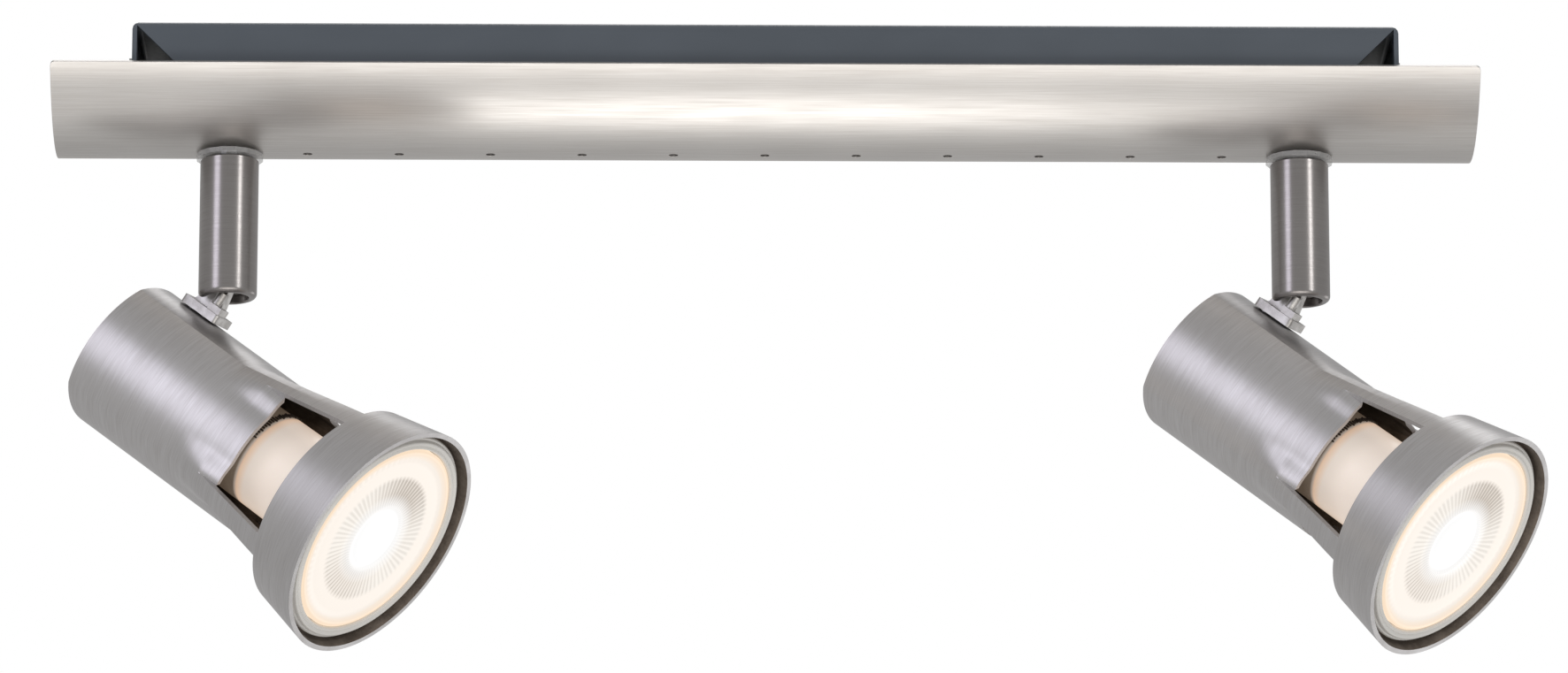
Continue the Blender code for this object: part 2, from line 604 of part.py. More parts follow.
def make_knuckle(name, tilt):
    """Foot on the head, flat web up to the eye, and a round post beside it. The pivot is the origin."""
    foot_low = -PIVOT_TO_AXIS + HEAD_FLAT + GAP
    foot_high = foot_low + FOOT_THICK
    half = FOOT_LENGTH / 2
    foot = block((-half, half), (-FOOT_WIDTH / 2, FOOT_WIDTH / 2), (foot_low, foot_high))
    made = finish(foot, f"knuckle_{name}", ZINC, tilt)
    web = [(-WEB_LENGTH / 2, foot_high - MM), (WEB_LENGTH / 2, foot_high - MM), (WEB_LENGTH / 2, foot_high)]
    web += arc((0, 0), EYE_RADIUS, -EYE_SHOULDER, math.pi + EYE_SHOULDER, 12)
    web += [(-WEB_LENGTH / 2, foot_high)]
    boolean(made, prism(web, -EYE_THICK / 2, EYE_THICK / 2, "Y"), "UNION", tilt)
    post = rod(POST_RADIUS, foot_high - SINK, -POST_TOP)
    boolean(made, moved(post, x=POST_FORWARD, y=POST_SIDE), "UNION", tilt)
    base = POST_BASE / 2
    front = half - POST_BASE_BACK
    step = block((front - 2 * base, front), (POST_SIDE - base, POST_SIDE + base),
                 (foot_high - SINK, foot_high + POST_BASE_HEIGHT))
    boolean(made, step, "UNION", tilt)
    pin_hole = moved(rod(PIN_RADIUS + PIN_GAP, -EYE_THICK, EYE_THICK, "X", PIN_ROUND), turn=math.pi / 2)
    boolean(made, pin_hole, "DIFFERENCE", tilt)
    screw_hole = rod(KNUCKLE_SCREW_RADIUS + THREAD_GAP, foot_low - OVER, foot_high - GAP)
    boolean(made, moved(screw_hole, x=-KNUCKLE_SCREW_BACK), "DIFFERENCE", tilt)


# ---------------------------------------------------------------- head

def body_radius(angle):
    """Axis to the body's surface, by the angle from the nearest corner: four sides, each a shallow arc."""
    offset = HEAD_SIDE_RADIUS - HEAD_FLAT
    across = math.pi / 4 - abs(angle)
    along = offset * math.cos(across)
    return -along + math.sqrt(along**2 + HEAD_SIDE_RADIUS**2 - offset**2)


def smooth(value):
    value = min(max(value, 0.0), 1.0)
    return value * value * (3 - 2 * value)


def head_radius(angle, back):
    """Outer radius of the head at an angle from the nearest corner, at a distance behind the rim.

    The corners swell into four arms that follow the rim's cone. The sides stay a plain tube: they lift
    into the arms at first, and drop back to the tube just behind the windows, where the arms' flanks show.
    """
    cone = RIM_RADIUS - RIM_SLOPE * back
    if back <= RING_DEPTH:
        return cone
    corner = body_radius(0)
    start = (RIM_RADIUS - corner) / RIM_SLOPE
    body = body_radius(angle)
    if back >= start:
        return body - (HEAD_EDGE if back >= HEAD_LENGTH else 0)
    lift = cone - corner
    if abs(angle) <= ARM_HALF:
        share = smooth((start - back) / (start - RING_DEPTH))
        return (body + lift) * (1 - share) + cone * share
    edge = lift
    if back < FLANK_START:
        fade = smooth((back - WINDOW_REAR) / (FLANK_START - WINDOW_REAR))
        edge = (RIM_RADIUS - RIM_SLOPE * FLANK_START - corner) * fade
    return body + edge * smooth(1 - (abs(angle) - ARM_HALF) / BLEND_HALF)


def head_angles(side_steps=3, arm_steps=3, flank=math.radians(0.5)):
    """Angles from one corner, from the middle of one side to the middle of the next."""
    outer, inner = math.pi / 4, ARM_HALF + flank
    left = [-outer + (outer - inner) * i / side_steps for i in range(side_steps + 1)]
    arm = [-ARM_HALF + 2 * ARM_HALF * i / arm_steps for i in range(arm_steps + 1)]
    right = [-a for a in reversed(left)]
    return left + arm + right[:-1]


def head_shell_mesh():
    """The body, arms and ring as one shell: an outer and an inner skin joined round every opening."""
    corner_angles = head_angles()
    columns = [(q, a) for q in range(4) for a in corner_angles]
    corner = body_radius(0)
    start = (RIM_RADIUS - corner) / RIM_SLOPE
    rows = [HEAD_LENGTH, HEAD_LENGTH - HEAD_EDGE, start, (2 * start + FLANK_START) / 3,
            (start + 2 * FLANK_START) / 3, FLANK_START, (FLANK_START + WINDOW_REAR) / 2, WINDOW_REAR,
            (WINDOW_REAR + RING_DEPTH) / 2, RING_DEPTH, 0]
    window_rows = [i for i, back in enumerate(rows) if RING_DEPTH < back <= WINDOW_REAR]
    bm = bmesh.new()
    skins = []
    for wall in (0, HEAD_WALL):
        grid = []
        for back in rows:
            ring = []
            for quarter, angle in columns:
                radius = head_radius(angle, back) - wall
                if wall and back >= HEAD_LENGTH:
                    radius += HEAD_EDGE
                turn = HEAD_ROLL + math.pi / 4 + quarter * math.pi / 2 + angle
                ring.append(bm.verts.new((-back, radius * math.cos(turn), radius * math.sin(turn))))
            grid.append(ring)
        skins.append(grid)
    count = len(columns)
    open_edges = {}
    for i in range(len(rows) - 1):
        for j in range(count):
            k = (j + 1) % count
            on_arm = abs(columns[j][1]) <= ARM_HALF and abs(columns[k][1]) <= ARM_HALF
            if i in window_rows and not on_arm:
                continue
            cells = [(i, j), (i, k), (i + 1, k), (i + 1, j)]
            for grid, order in ((skins[0], cells), (skins[1], cells[::-1])):
                bm.faces.new([grid[r][c] for r, c in order])
            for first, second in zip(cells, cells[1:] + cells[:1]):
                key = (min(first, second), max(first, second))
                open_edges[key] = None if key in open_edges else (first, second)
    for pair in open_edges.values():
        if pair:
            (r1, c1), (r2, c2) = pair
            bm.faces.new((skins[0][r2][c2], skins[0][r1][c1], skins[1][r1][c1], skins[1][r2][c2]))
    loose = [vert for vert in bm.verts if not vert.link_faces]
    bmesh.ops.delete(bm, geom=loose, context="VERTS")
    return bm


def make_head_shell(name, head):
    made = finish(head_shell_mesh(), f"head_shell_{name}", BRUSHED_NICKEL, head)
    low, high = HEAD_FLAT - 4 * OVER, HEAD_FLAT + 2 * OVER
    holes = [moved(rod(KNUCKLE_SCREW_RADIUS + GAP, low, high), x=-PIVOT_BACK - KNUCKLE_SCREW_BACK),
             moved(rod(LEAD_HOLE_RADIUS, low, high), x=-PIVOT_BACK + POST_FORWARD)]
    boolean(made, combine(holes), "DIFFERENCE", head)


def make_rear_cap(name, head):
    columns = [(q, a) for q in range(4) for a in head_angles(3, 2)]
    outline = []
    for quarter, angle in columns:
        radius = body_radius(angle) - HEAD_WALL - GAP
        turn = HEAD_ROLL + math.pi / 4 + quarter * math.pi / 2 + angle
        outline.append((radius * math.cos(turn), radius * math.sin(turn)))
    low = -HEAD_LENGTH + CAP_INSET
    made = finish(prism(outline, low, low + CAP_THICK, "X"), f"rear_cap_{name}", BRUSHED_NICKEL, head)
    slots = []
    for i in range(CAP_VENTS):
        slot = block((low - OVER, low + CAP_THICK + OVER), CAP_VENT_REACH, (-CAP_VENT_HALF, CAP_VENT_HALF))
        slots.append(moved(slot, turn=math.tau * i / CAP_VENTS, axis="X"))
    boolean(made, combine(slots), "DIFFERENCE", head)


def make_holder_bracket(name, head):
    """An angle clamped under the knuckle's screw; its long leg carries the lampholder."""
    top = HEAD_FLAT - HEAD_WALL - 5 * GAP
    rear_face = -HOLDER_FRONT - HOLDER_DEPTH - GAP
    back = -PIVOT_BACK - FOOT_LENGTH / 2
    sheet = BRACKET_SHEET
    outline = [(back, top), (rear_face, top), (rear_face, -BRACKET_REACH),
               (rear_face - sheet, -BRACKET_REACH), (rear_face - sheet, top - sheet), (back, top - sheet)]
    made = prism(outline, -BRACKET_WIDTH / 2, BRACKET_WIDTH / 2, "Y")
    made = finish(made, f"holder_bracket_{name}", STEEL, head)
    holes = [moved(rod(KNUCKLE_SCREW_RADIUS + THREAD_GAP, top - 3 * OVER, top + OVER),
                   x=-PIVOT_BACK - KNUCKLE_SCREW_BACK),
             moved(rod(LEAD_HOLE_RADIUS, top - 3 * OVER, top + OVER), x=-PIVOT_BACK + POST_FORWARD)]
    holes += [moved(rod(HOLDER_SCREW_RADIUS + THREAD_GAP, -3 * OVER, 3 * OVER, "X"), x=rear_face,
                    z=side * HOLDER_SCREW_OFFSET) for side in (-1, 1)]
    boolean(made, combine(holes), "DIFFERENCE", head)
    foot_low = HEAD_FLAT + GAP
    length = foot_low + FOOT_THICK - KNUCKLE_SCREW_SHORT - (top - sheet - GAP)
    knuckle_screw = moved(screw(KNUCKLE_SCREW_RADIUS, length, *M3_HEAD, "Z", -1),
                          x=-PIVOT_BACK - KNUCKLE_SCREW_BACK, z=top - sheet - GAP)
    finish(knuckle_screw, f"knuckle_screw_{name}", STEEL, head)


def pin_slot(depth_range, margin):
    """The curved slot that a lamp pin's head turns in, as a pair on opposite sides."""
    reach = PIN_SPACING / 2
    radius = LAMP_PIN_HEAD + margin
    outer = arc((0, 0), reach + radius, -TWIST, 0, 4)
    near = arc((reach, 0), radius, 0, math.pi, 6)[1:-1]
    inner = arc((0, 0), reach - radius, 0, -TWIST, 4)
    far_centre = (reach * math.cos(TWIST), -reach * math.sin(TWIST))
    far = arc(far_centre, radius, math.pi - TWIST, math.tau - TWIST, 6)[1:-1]
    outline = outer + near + inner + far
    one = prism(outline, *depth_range, "X")
    other = moved(prism(outline, *depth_range, "X"), turn=math.pi, axis="X")
    return [one, other]


def make_lampholder(name, head):
    front, rear = -HOLDER_FRONT, -HOLDER_FRONT - HOLDER_DEPTH
    chamfer = HOLDER_CHAMFER
    profile = [(rear, 0), (rear, HOLDER_RADIUS - chamfer), (rear + chamfer, HOLDER_RADIUS),
               (front - chamfer, HOLDER_RADIUS), (front, HOLDER_RADIUS - chamfer), (front, 0)]
    made = finish(turned(profile), f"lampholder_{name}", CERAMIC, head)
    tools = pin_slot((front - LAMP_PIN_LENGTH - OVER, front + OVER), HOLDER_PIN_ROOM)
    well_radius, well_depth = HOLDER_SINK
    for side in (-1, 1):
        tools.append(moved(rod(HOLDER_SCREW_RADIUS + GAP, rear - OVER, front + OVER, "X"),
                           z=side * HOLDER_SCREW_OFFSET))
    boolean(made, combine(tools), "DIFFERENCE", head)
    sinks = [moved(rod(well_radius, front - well_depth, front + OVER, "X"), z=side * HOLDER_SCREW_OFFSET)
             for side in (-1, 1)]
    boolean(made, combine(sinks), "DIFFERENCE", head)
    way = moved(rod(LEAD_RADIUS + GAP, rear - OVER, rear + HOLDER_WAY, "X"), y=LEAD_EXIT)
    boolean(made, way, "DIFFERENCE", head)
    length = HOLDER_DEPTH - well_depth + GAP + BRACKET_SHEET + SINK
    for number, side in ((1, 1), (2, -1)):
        fixing = screw(HOLDER_SCREW_RADIUS, length, *M3_HEAD, "X", 1)
        finish(fixing, f"holder_screw_{name}_{number}", STEEL, head,
               (front - well_depth + GAP, 0, side * HOLDER_SCREW_OFFSET))


def make_head_lead(name, head):
    rear = -HOLDER_FRONT - HOLDER_DEPTH
    entry = -PIVOT_BACK + POST_FORWARD
    points = [(rear + 3 * MM, LEAD_EXIT, 0), (rear - 2 * MM, LEAD_EXIT, 0),
              (rear - 5.5 * MM, LEAD_EXIT - 0.3 * MM, 3 * MM), (entry - MM, LEAD_EXIT - 2.0 * MM, 7 * MM),
              (entry - 0.5 * MM, 3.2 * MM, 9.6 * MM), (entry, 0, 12.4 * MM), (entry, 0, HEAD_FLAT - GAP)]
    finish(wire(points), f"head_lead_{name}", SLEEVE, head)


# ---------------------------------------------------------------- lamp

def glass_profile():
    """Outer line of the lamp's glass, front rim to neck, as (place, radius)."""
    rim_back = -LAMP_FRONT - LAMP_RIM
    dish_back = -LAMP_DISH_DEPTH
    dish = []
    steps = 5
    for i in range(steps + 1):
        share = i / steps
        bulge = math.cos(share * math.pi / 2) ** 0.8
        dish.append((rim_back + (dish_back - rim_back) * share,
                     LAMP_NECK_RADIUS + 0.4 * MM + (LAMP_RADIUS - MM - LAMP_NECK_RADIUS - 0.4 * MM) * bulge))
    front = [(-LAMP_FRONT, LAMP_RADIUS - LENS_SUNK), (-LAMP_FRONT - LENS_SUNK, LAMP_RADIUS),
             (rim_back, LAMP_RADIUS)]
    return front + dish + [(-LAMP_NECK_END, NECK_TAIL)]


def make_lamp(name, lamp):
    outside = glass_profile()
    seat = -LAMP_FRONT - LENS_THICK - 2 * GAP
    opening = LENS_RADIUS + GAP
    inside = [(-LAMP_NECK_END, NECK_TAIL - LAMP_WALL)]
    for place, radius in reversed(outside[:-1]):
        if place + LAMP_WALL < seat - MM:
            inside.append((place + LAMP_WALL, radius - LAMP_WALL))
    inside += [(seat, opening - LENS_LEDGE), (seat, opening), (-LAMP_FRONT, opening)]
    finish(turned(outside + inside, closed=True, steps=ROUND), f"lamp_glass_{name}", GLASS, lamp)

    front = -LAMP_FRONT - LENS_SUNK
    ring = [LENS_RADIUS * share for share in LENS_RING]
    lens = [(front - LENS_THICK, 0), (front - LENS_THICK, LENS_RADIUS), (front, LENS_RADIUS),
            (front, ring[0]), (front - LENS_RING_DEPTH, ring[1]), (front - LENS_RING_DEPTH, ring[2]),
            (front, ring[3]),
            (front + LENS_DOME * 0.75, ring[3] / 2), (front + LENS_DOME, 0)]
    finish(turned(lens, steps=ROUND), f"lamp_lens_{name}", LENS, lamp)

    board_back = -LAMP_DISH_DEPTH - BOARD_BEHIND_DISH
    board_top = board_back + BOARD_THICK
    dome = [(board_top + DOME_HEIGHT * math.sin(a), DOME_RADIUS * math.cos(a))
            for a in (0, math.pi / 6, math.pi / 3, math.pi / 2)]
    board = [(board_back, 0), (board_back, BOARD_RADIUS), (board_top, BOARD_RADIUS)] + dome[:-1]
    board += [(dome[-1][0], 0)]
    finish(turned(board, steps=24), f"led_module_{name}", LED, lamp)

    inner_neck = NECK_TAIL - LAMP_WALL - GAP
    base = [(-LAMP_BASE_END, 0), (-LAMP_BASE_END, NECK_TAIL - MM), (-LAMP_BASE_END + MM, NECK_TAIL),
            (-LAMP_NECK_END - GAP, NECK_TAIL), (-LAMP_NECK_END - GAP, inner_neck),
            (board_back - GAP, inner_neck - 0.2 * MM), (board_back - GAP, 0)]
    made = finish(turned(base, steps=ROUND), f"lamp_base_{name}", PLASTIC, lamp)
    sockets = [moved(rod(LAMP_PIN_RADIUS + THREAD_GAP, -LAMP_BASE_END - OVER, -LAMP_BASE_END + 4 * OVER, "X"),
                     y=side * PIN_SPACING / 2) for side in (-1, 1)]
    boolean(made, combine(sockets), "DIFFERENCE", lamp)
    tip = -LAMP_BASE_END - LAMP_PIN_LENGTH
    pin = [(tip, 0), (tip, LAMP_PIN_HEAD - 0.3 * MM), (tip + 0.3 * MM, LAMP_PIN_HEAD),
           (tip + LAMP_PIN_HEAD_LENGTH, LAMP_PIN_HEAD), (tip + LAMP_PIN_HEAD_LENGTH, LAMP_PIN_RADIUS),
           (-LAMP_BASE_END + 3.5 * MM, LAMP_PIN_RADIUS), (-LAMP_BASE_END + 3.5 * MM, 0)]
    for number, side in ((1, 1), (2, -1)):
        finish(turned(pin, steps=SMALL_ROUND), f"lamp_pin_{name}_{number}", STEEL, lamp,
               (0, side * PIN_SPACING / 2, 0))


# ---------------------------------------------------------------- leads in the tray

def make_tray_lead(name, side, nipple_low, nipple_top):
    """The sleeved lead from the terminal block to a stem and down its nipple."""
    block_z = -TRAY_SHEET - GAP - BLOCK_HEIGHT + POLE_HEIGHT
    pole = BLOCK_X + side * POLE_PITCH
    stem_x = side * STEM_PITCH / 2
    out_y = side * (BLOCK_WIDTH / 2 + 4 * MM)
    run_x = stem_x - side * 14 * MM
    points = [(pole, side * (BLOCK_WIDTH / 2 + GAP), block_z),
              (pole + side * 1.5 * MM, out_y * 0.93, block_z),
              (pole + side * 6 * MM, out_y, block_z), ((pole + run_x) / 2, out_y, block_z - MM),
              (run_x - side * 14 * MM, out_y * 0.7, block_z), (run_x, out_y * 0.2, -5.5 * MM),
              (stem_x - side * 5 * MM, 0, -4.2 * MM), (stem_x - side * 0.8 * MM, 0, -7.6 * MM),
              (stem_x, 0, nipple_top - MM), (stem_x, 0, nipple_low)]
    finish(wire(points), f"tray_lead_{name}", SLEEVE)


def make_spot(name, side):
    stem = empty(f"stem_axis_{name}", location=(side * STEM_PITCH / 2, 0, 0))
    nipple_low, nipple_top = make_stem_fixings(name, stem)
    turn, lean = REST[name]
    pan = empty(f"pan_axis_{name}", stem, rotation=(0, 0, turn))
    make_stem_tube(name, pan)
    make_clevis(name, pan)
    make_tray_lead(name, side, nipple_low, nipple_top)
    tilt = empty(f"tilt_axis_{name}", pan, (0, 0, PIVOT_Z), (0, lean, 0))
    make_knuckle(name, tilt)
    head = empty(f"head_axis_{name}", tilt, (PIVOT_BACK, 0, -PIVOT_TO_AXIS))
    make_head_shell(name, head)
    make_rear_cap(name, head)
    make_holder_bracket(name, head)
    make_lampholder(name, head)
    make_head_lead(name, head)
    make_lamp(name, head)


make_bar_cover()
make_mounting_tray()
make_entry_grommet()
make_cover_fixings()
make_terminal_block()
make_earth_screw()
for spot_name, spot_side in SIDES:
    make_spot(spot_name, spot_side)
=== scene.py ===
import json
import math

import bmesh
import bpy
from mathutils import Matrix, Vector


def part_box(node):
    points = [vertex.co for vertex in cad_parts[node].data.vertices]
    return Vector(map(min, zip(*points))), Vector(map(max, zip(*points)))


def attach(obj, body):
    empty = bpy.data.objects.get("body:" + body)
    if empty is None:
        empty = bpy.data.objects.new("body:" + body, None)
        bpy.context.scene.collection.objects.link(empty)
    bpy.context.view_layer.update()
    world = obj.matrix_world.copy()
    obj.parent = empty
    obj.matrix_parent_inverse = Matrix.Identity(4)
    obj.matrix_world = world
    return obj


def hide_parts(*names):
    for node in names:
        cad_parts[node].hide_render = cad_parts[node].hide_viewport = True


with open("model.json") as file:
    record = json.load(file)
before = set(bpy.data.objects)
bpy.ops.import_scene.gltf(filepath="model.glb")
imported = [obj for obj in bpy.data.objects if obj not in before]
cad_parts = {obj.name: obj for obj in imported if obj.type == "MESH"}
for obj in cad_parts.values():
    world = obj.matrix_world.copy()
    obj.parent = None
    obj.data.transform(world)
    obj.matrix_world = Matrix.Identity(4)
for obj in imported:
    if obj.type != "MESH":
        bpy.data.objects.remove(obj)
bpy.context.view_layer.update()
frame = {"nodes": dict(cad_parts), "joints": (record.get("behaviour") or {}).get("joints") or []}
scene = bpy.context.scene
joints = {joint["name"]: joint for joint in frame["joints"]}
sides = ("left", "right")
toMetres = Matrix.Scale(0.001, 4)   # pieces are modelled in millimetres


# camera and studio: the view from below the bar that shows both lamp faces

view = {
    "target": (4.2, 0, -64.9),      # mm
    "distance": 2.0,                # m
    "yaw": 0.74,                    # degrees
    "pitch": 14.75,                 # degrees above level
    "millimetresAcross": 341.4,     # what the frame takes in at the target
    "sensor": 36.0,
}


def placeCamera():
    yaw, pitch = math.radians(view["yaw"]), math.radians(view["pitch"])
    ahead = Vector((math.sin(yaw) * math.cos(pitch), math.cos(yaw) * math.cos(pitch), math.sin(pitch)))
    data = bpy.data.cameras.new("camera")
    data.sensor_width = view["sensor"]
    data.lens = view["sensor"] * view["distance"] * 1000 / view["millimetresAcross"]
    data.clip_end = 20
    camera = bpy.data.objects.new("camera", data)
    camera.location = Vector(view["target"]) * 0.001 - ahead * view["distance"]
    camera.rotation_euler = ahead.to_track_quat("-Z", "Y").to_euler()
    scene.collection.objects.link(camera)
    scene.camera = camera


placeCamera()
scene.view_settings.view_transform = "Standard"
print("camera placed")


# colours and nodes

def linearColour(code):
    channels = [int(code[i:i + 2], 16) / 255 for i in (1, 3, 5)]
    return [c / 12.92 if c <= 0.04045 else ((c + 0.055) / 1.055) ** 2.4 for c in channels] + [1.0]


def addNode(tree, kind, settings, links=None):
    node = tree.nodes.new(kind)
    for key, value in settings.items():
        if isinstance(key, str) and hasattr(node, key):
            setattr(node, key, value)
        else:
            node.inputs[key].default_value = value
    for key, output in (links or {}).items():
        tree.links.new(output, node.inputs[key])
    return node


def startMaterial(name, shaderSettings):
    made = bpy.data.materials.new(name)
    made.use_nodes = True
    tree = made.node_tree
    tree.nodes.clear()
    shader = addNode(tree, "ShaderNodeBsdfPrincipled", shaderSettings)
    addNode(tree, "ShaderNodeOutputMaterial", {}, {"Surface": shader.outputs["BSDF"]})
    return made, tree, shader


def pieceCoordinates(tree, place=None):
    # object coordinates in millimetres, turned to the piece's own frame where it has one
    coordinates = addNode(tree, "ShaderNodeTexCoord", {})
    settings = {"vector_type": "TEXTURE", "Scale": (0.001, 0.001, 0.001)}
    if place is not None:
        settings["Location"] = place.to_translation()
        settings["Rotation"] = place.to_euler()
    return addNode(tree, "ShaderNodeMapping", settings, {"Vector": coordinates.outputs["Object"]})


def grainNoise(tree, coordinates, size, detail=2.0):
    # noise whose cells are size = (x, y, z) millimetres
    stretched = addNode(tree, "ShaderNodeVectorMath", {"operation": "DIVIDE", 1: size},
                        {0: coordinates.outputs[0]})
    return addNode(tree, "ShaderNodeTexNoise", {"Scale": 1.0, "Detail": detail, "Roughness": 0.6},
                   {"Vector": stretched.outputs[0]})


def between(tree, factor, low, high, fromMin=0.3, fromMax=0.7):
    return addNode(tree, "ShaderNodeMapRange", {"From Min": fromMin, "From Max": fromMax, "To Min": low,
                                                "To Max": high}, {"Value": factor})


def blendColours(tree, factor, first, second, mode="MIX"):
    settings = {"data_type": "RGBA", "blend_type": mode}
    links = {0: factor} if not isinstance(factor, float) else {}
    if isinstance(factor, float):
        settings[0] = factor
    for index, colour in ((6, first), (7, second)):
        if isinstance(colour, str):
            settings[index] = linearColour(colour)
        else:
            links[index] = colour
    return addNode(tree, "ShaderNodeMix", settings, links)


def finishSurface(tree, shader, colour=None, roughness=None, height=None, depth=0.0, strength=1.0):
    # depth is the height of the relief in millimetres
    if colour is not None:
        tree.links.new(colour, shader.inputs["Base Color"])
    if roughness is not None:
        tree.links.new(roughness, shader.inputs["Roughness"])
    if height is not None:
        bump = addNode(tree, "ShaderNodeBump", {"Strength": strength, "Distance": depth * 0.001},
                       {"Height": height})
        tree.links.new(bump.outputs["Normal"], shader.inputs["Normal"])


# Satin nickel: plated steel brushed one way, so light smears across the grain and fine streaks run along it.

def brushDirection(tree, shader, coordinates, place, around):
    # the way the brush ran: along X, or round the piece's own X or Z axis
    if around == "along":
        run = addNode(tree, "ShaderNodeVectorMath", {"operation": "ADD", 0: (1, 0, 0), 1: (0, 0, 0)})
    else:
        axis = (1, 0, 0) if around == "X" else (0, 0, 1)
        run = addNode(tree, "ShaderNodeVectorMath", {"operation": "CROSS_PRODUCT", 0: axis},
                      {1: coordinates.outputs[0]})
        turned = addNode(tree, "ShaderNodeMapping", {"vector_type": "VECTOR", "Rotation": place.to_euler()},
                         {"Vector": run.outputs[0]})
        run = addNode(tree, "ShaderNodeVectorTransform", {"vector_type": "VECTOR", "convert_from": "OBJECT",
                                                          "convert_to": "WORLD"}, {0: turned.outputs[0]})
    tree.links.new(run.outputs[0], shader.inputs["Tangent"])


def satinNickel(name, light, dark, grain, roughness, around="along", place=None, depth=0.003):
    made, tree, shader = startMaterial(name, {"Metallic": 1.0, "Anisotropic": 0.55,
                                              "Anisotropic Rotation": 0.25})
    coordinates = pieceCoordinates(tree, place)
    brushDirection(tree, shader, coordinates, place, around)
    streaks = grainNoise(tree, coordinates, grain, 3.0)
    broad = grainNoise(tree, coordinates, [size * 5 for size in grain], 2.0)
    cloud = grainNoise(tree, coordinates, (24, 24, 24), 1.0)
    mixed = addNode(tree, "ShaderNodeMath", {"operation": "MULTIPLY_ADD", 1: 0.25},
                    {0: broad.outputs["Fac"], 2: streaks.outputs["Fac"]})
    tone = between(tree, mixed.outputs[0], 0.0, 1.0, 0.4, 0.85)
    base = blendColours(tree, tone.outputs[0], dark, light)
    shade = between(tree, cloud.outputs["Fac"], 0.94, 1.0)
    shadeColour = addNode(tree, "ShaderNodeCombineColor", {}, {0: shade.outputs[0], 1: shade.outputs[0],
                                                               2: shade.outputs[0]})
    colour = blendColours(tree, 1.0, base.outputs[2], shadeColour.outputs[0], "MULTIPLY")
    rough = between(tree, mixed.outputs[0], roughness + 0.03, roughness - 0.03, 0.4, 0.85)
    finishSurface(tree, shader, colour.outputs[2], rough.outputs[0], mixed.outputs[0], depth, 0.4)
    return made


# Enamel: stove-painted sheet steel, satin, with the faint orange peel that a spray coat leaves.

def stoveEnamel():
    made, tree, shader = startMaterial("slateStoveEnamel", {"Metallic": 0.0, "IOR": 1.5, "Coat Weight": 0.15,
                                                            "Coat Roughness": 0.3})
    coordinates = pieceCoordinates(tree)
    peel = grainNoise(tree, coordinates, (0.9, 0.9, 0.9), 2.0)
    cloud = grainNoise(tree, coordinates, (30, 14, 14), 2.0)
    colour = blendColours(tree, cloud.outputs["Fac"], "#454C53", "#535A62")
    rough = between(tree, peel.outputs["Fac"], 0.38, 0.5)
    finishSurface(tree, shader, colour.outputs[2], rough.outputs[0], peel.outputs["Fac"], 0.01, 0.3)
    return made


# A plain finish with grain of one size: castings, plating, ceramic, mouldings and rubber.

def grainedFinish(name, light, dark, grain, roughness, metallic=0.0, depth=0.02, extra=None):
    made, tree, shader = startMaterial(name, {"Metallic": metallic, **(extra or {})})
    coordinates = pieceCoordinates(tree)
    fine = grainNoise(tree, coordinates, (grain, grain, grain), 3.0)
    coarse = grainNoise(tree, coordinates, (grain * 9, grain * 9, grain * 9), 2.0)
    tone = addNode(tree, "ShaderNodeMath", {"operation": "MULTIPLY_ADD", 1: 0.5},
                   {0: fine.outputs["Fac"], 2: coarse.outputs["Fac"]})
    share = between(tree, tone.outputs[0], 0.0, 1.0, 0.55, 0.95)
    colour = blendColours(tree, share.outputs[0], dark, light)
    rough = between(tree, fine.outputs["Fac"], roughness - 0.05, roughness + 0.06)
    finishSurface(tree, shader, colour.outputs[2], rough.outputs[0], fine.outputs["Fac"], depth, 0.5)
    return made


# Frosted lamp glass: a clear grey stepped rim, and a satin-etched neck lit from inside, dull behind its
# bright line.

glassBands = {
    # from and to along the lamp's axis, in mm
    "neck": (-9.0, -4.0),
    "dull": (-34.6, -33.4),
    "lineRear": (-34.2, -33.6),
    "lineFront": (-33.2, -31.5),
}


def frostedGlass(name, place):
    made, tree, shader = startMaterial(name, {"IOR": 1.5, "Emission Strength": 0.62, "Roughness": 0.32})
    coordinates = pieceCoordinates(tree, place)
    frost = grainNoise(tree, coordinates, (0.35, 0.35, 0.35), 3.0)
    parts = addNode(tree, "ShaderNodeSeparateXYZ", {}, {0: coordinates.outputs[0]})
    neck = between(tree, parts.outputs["X"], 1.0, 0.0, *glassBands["neck"])      # 0 at the rim, 1 on the neck
    dull = between(tree, parts.outputs["X"], 1.0, 0.0, *glassBands["dull"])
    line = between(tree, parts.outputs["X"], 0.0, 1.0, *glassBands["lineRear"])
    lineEnd = between(tree, parts.outputs["X"], 1.0, 0.0, *glassBands["lineFront"])
    edge = addNode(tree, "ShaderNodeLayerWeight", {"Blend": 0.3})
    base = blendColours(tree, neck.outputs[0], "#C6C4C0", "#C4B8AC")
    based = blendColours(tree, dull.outputs[0], base.outputs[2], "#8F8479")
    grained = blendColours(tree, 0.12, based.outputs[2], frost.outputs["Color"], "SOFT_LIGHT")
    warm = blendColours(tree, edge.outputs["Facing"], "#EEE5DD", "#D2B49A")
    rimGlow = blendColours(tree, neck.outputs[0], "#5E5C59", warm.outputs[2])
    bright = addNode(tree, "ShaderNodeMath", {"operation": "MULTIPLY"},
                     {0: line.outputs[0], 1: lineEnd.outputs[0]})
    lined = blendColours(tree, bright.outputs[0], rimGlow.outputs[2], "#EBC6A8")
    glow = blendColours(tree, dull.outputs[0], lined.outputs[2], "#5A4D40")
    tree.links.new(glow.outputs[2], shader.inputs["Emission Color"])
    finishSurface(tree, shader, grained.outputs[2], None, frost.outputs["Fac"], 0.01, 0.3)
    return made


# Lit lens: a moulded acrylic optic seen with the lamp on. Its middle is white, a ring of fine ribs round it
# is greyer, and its edge is warm.

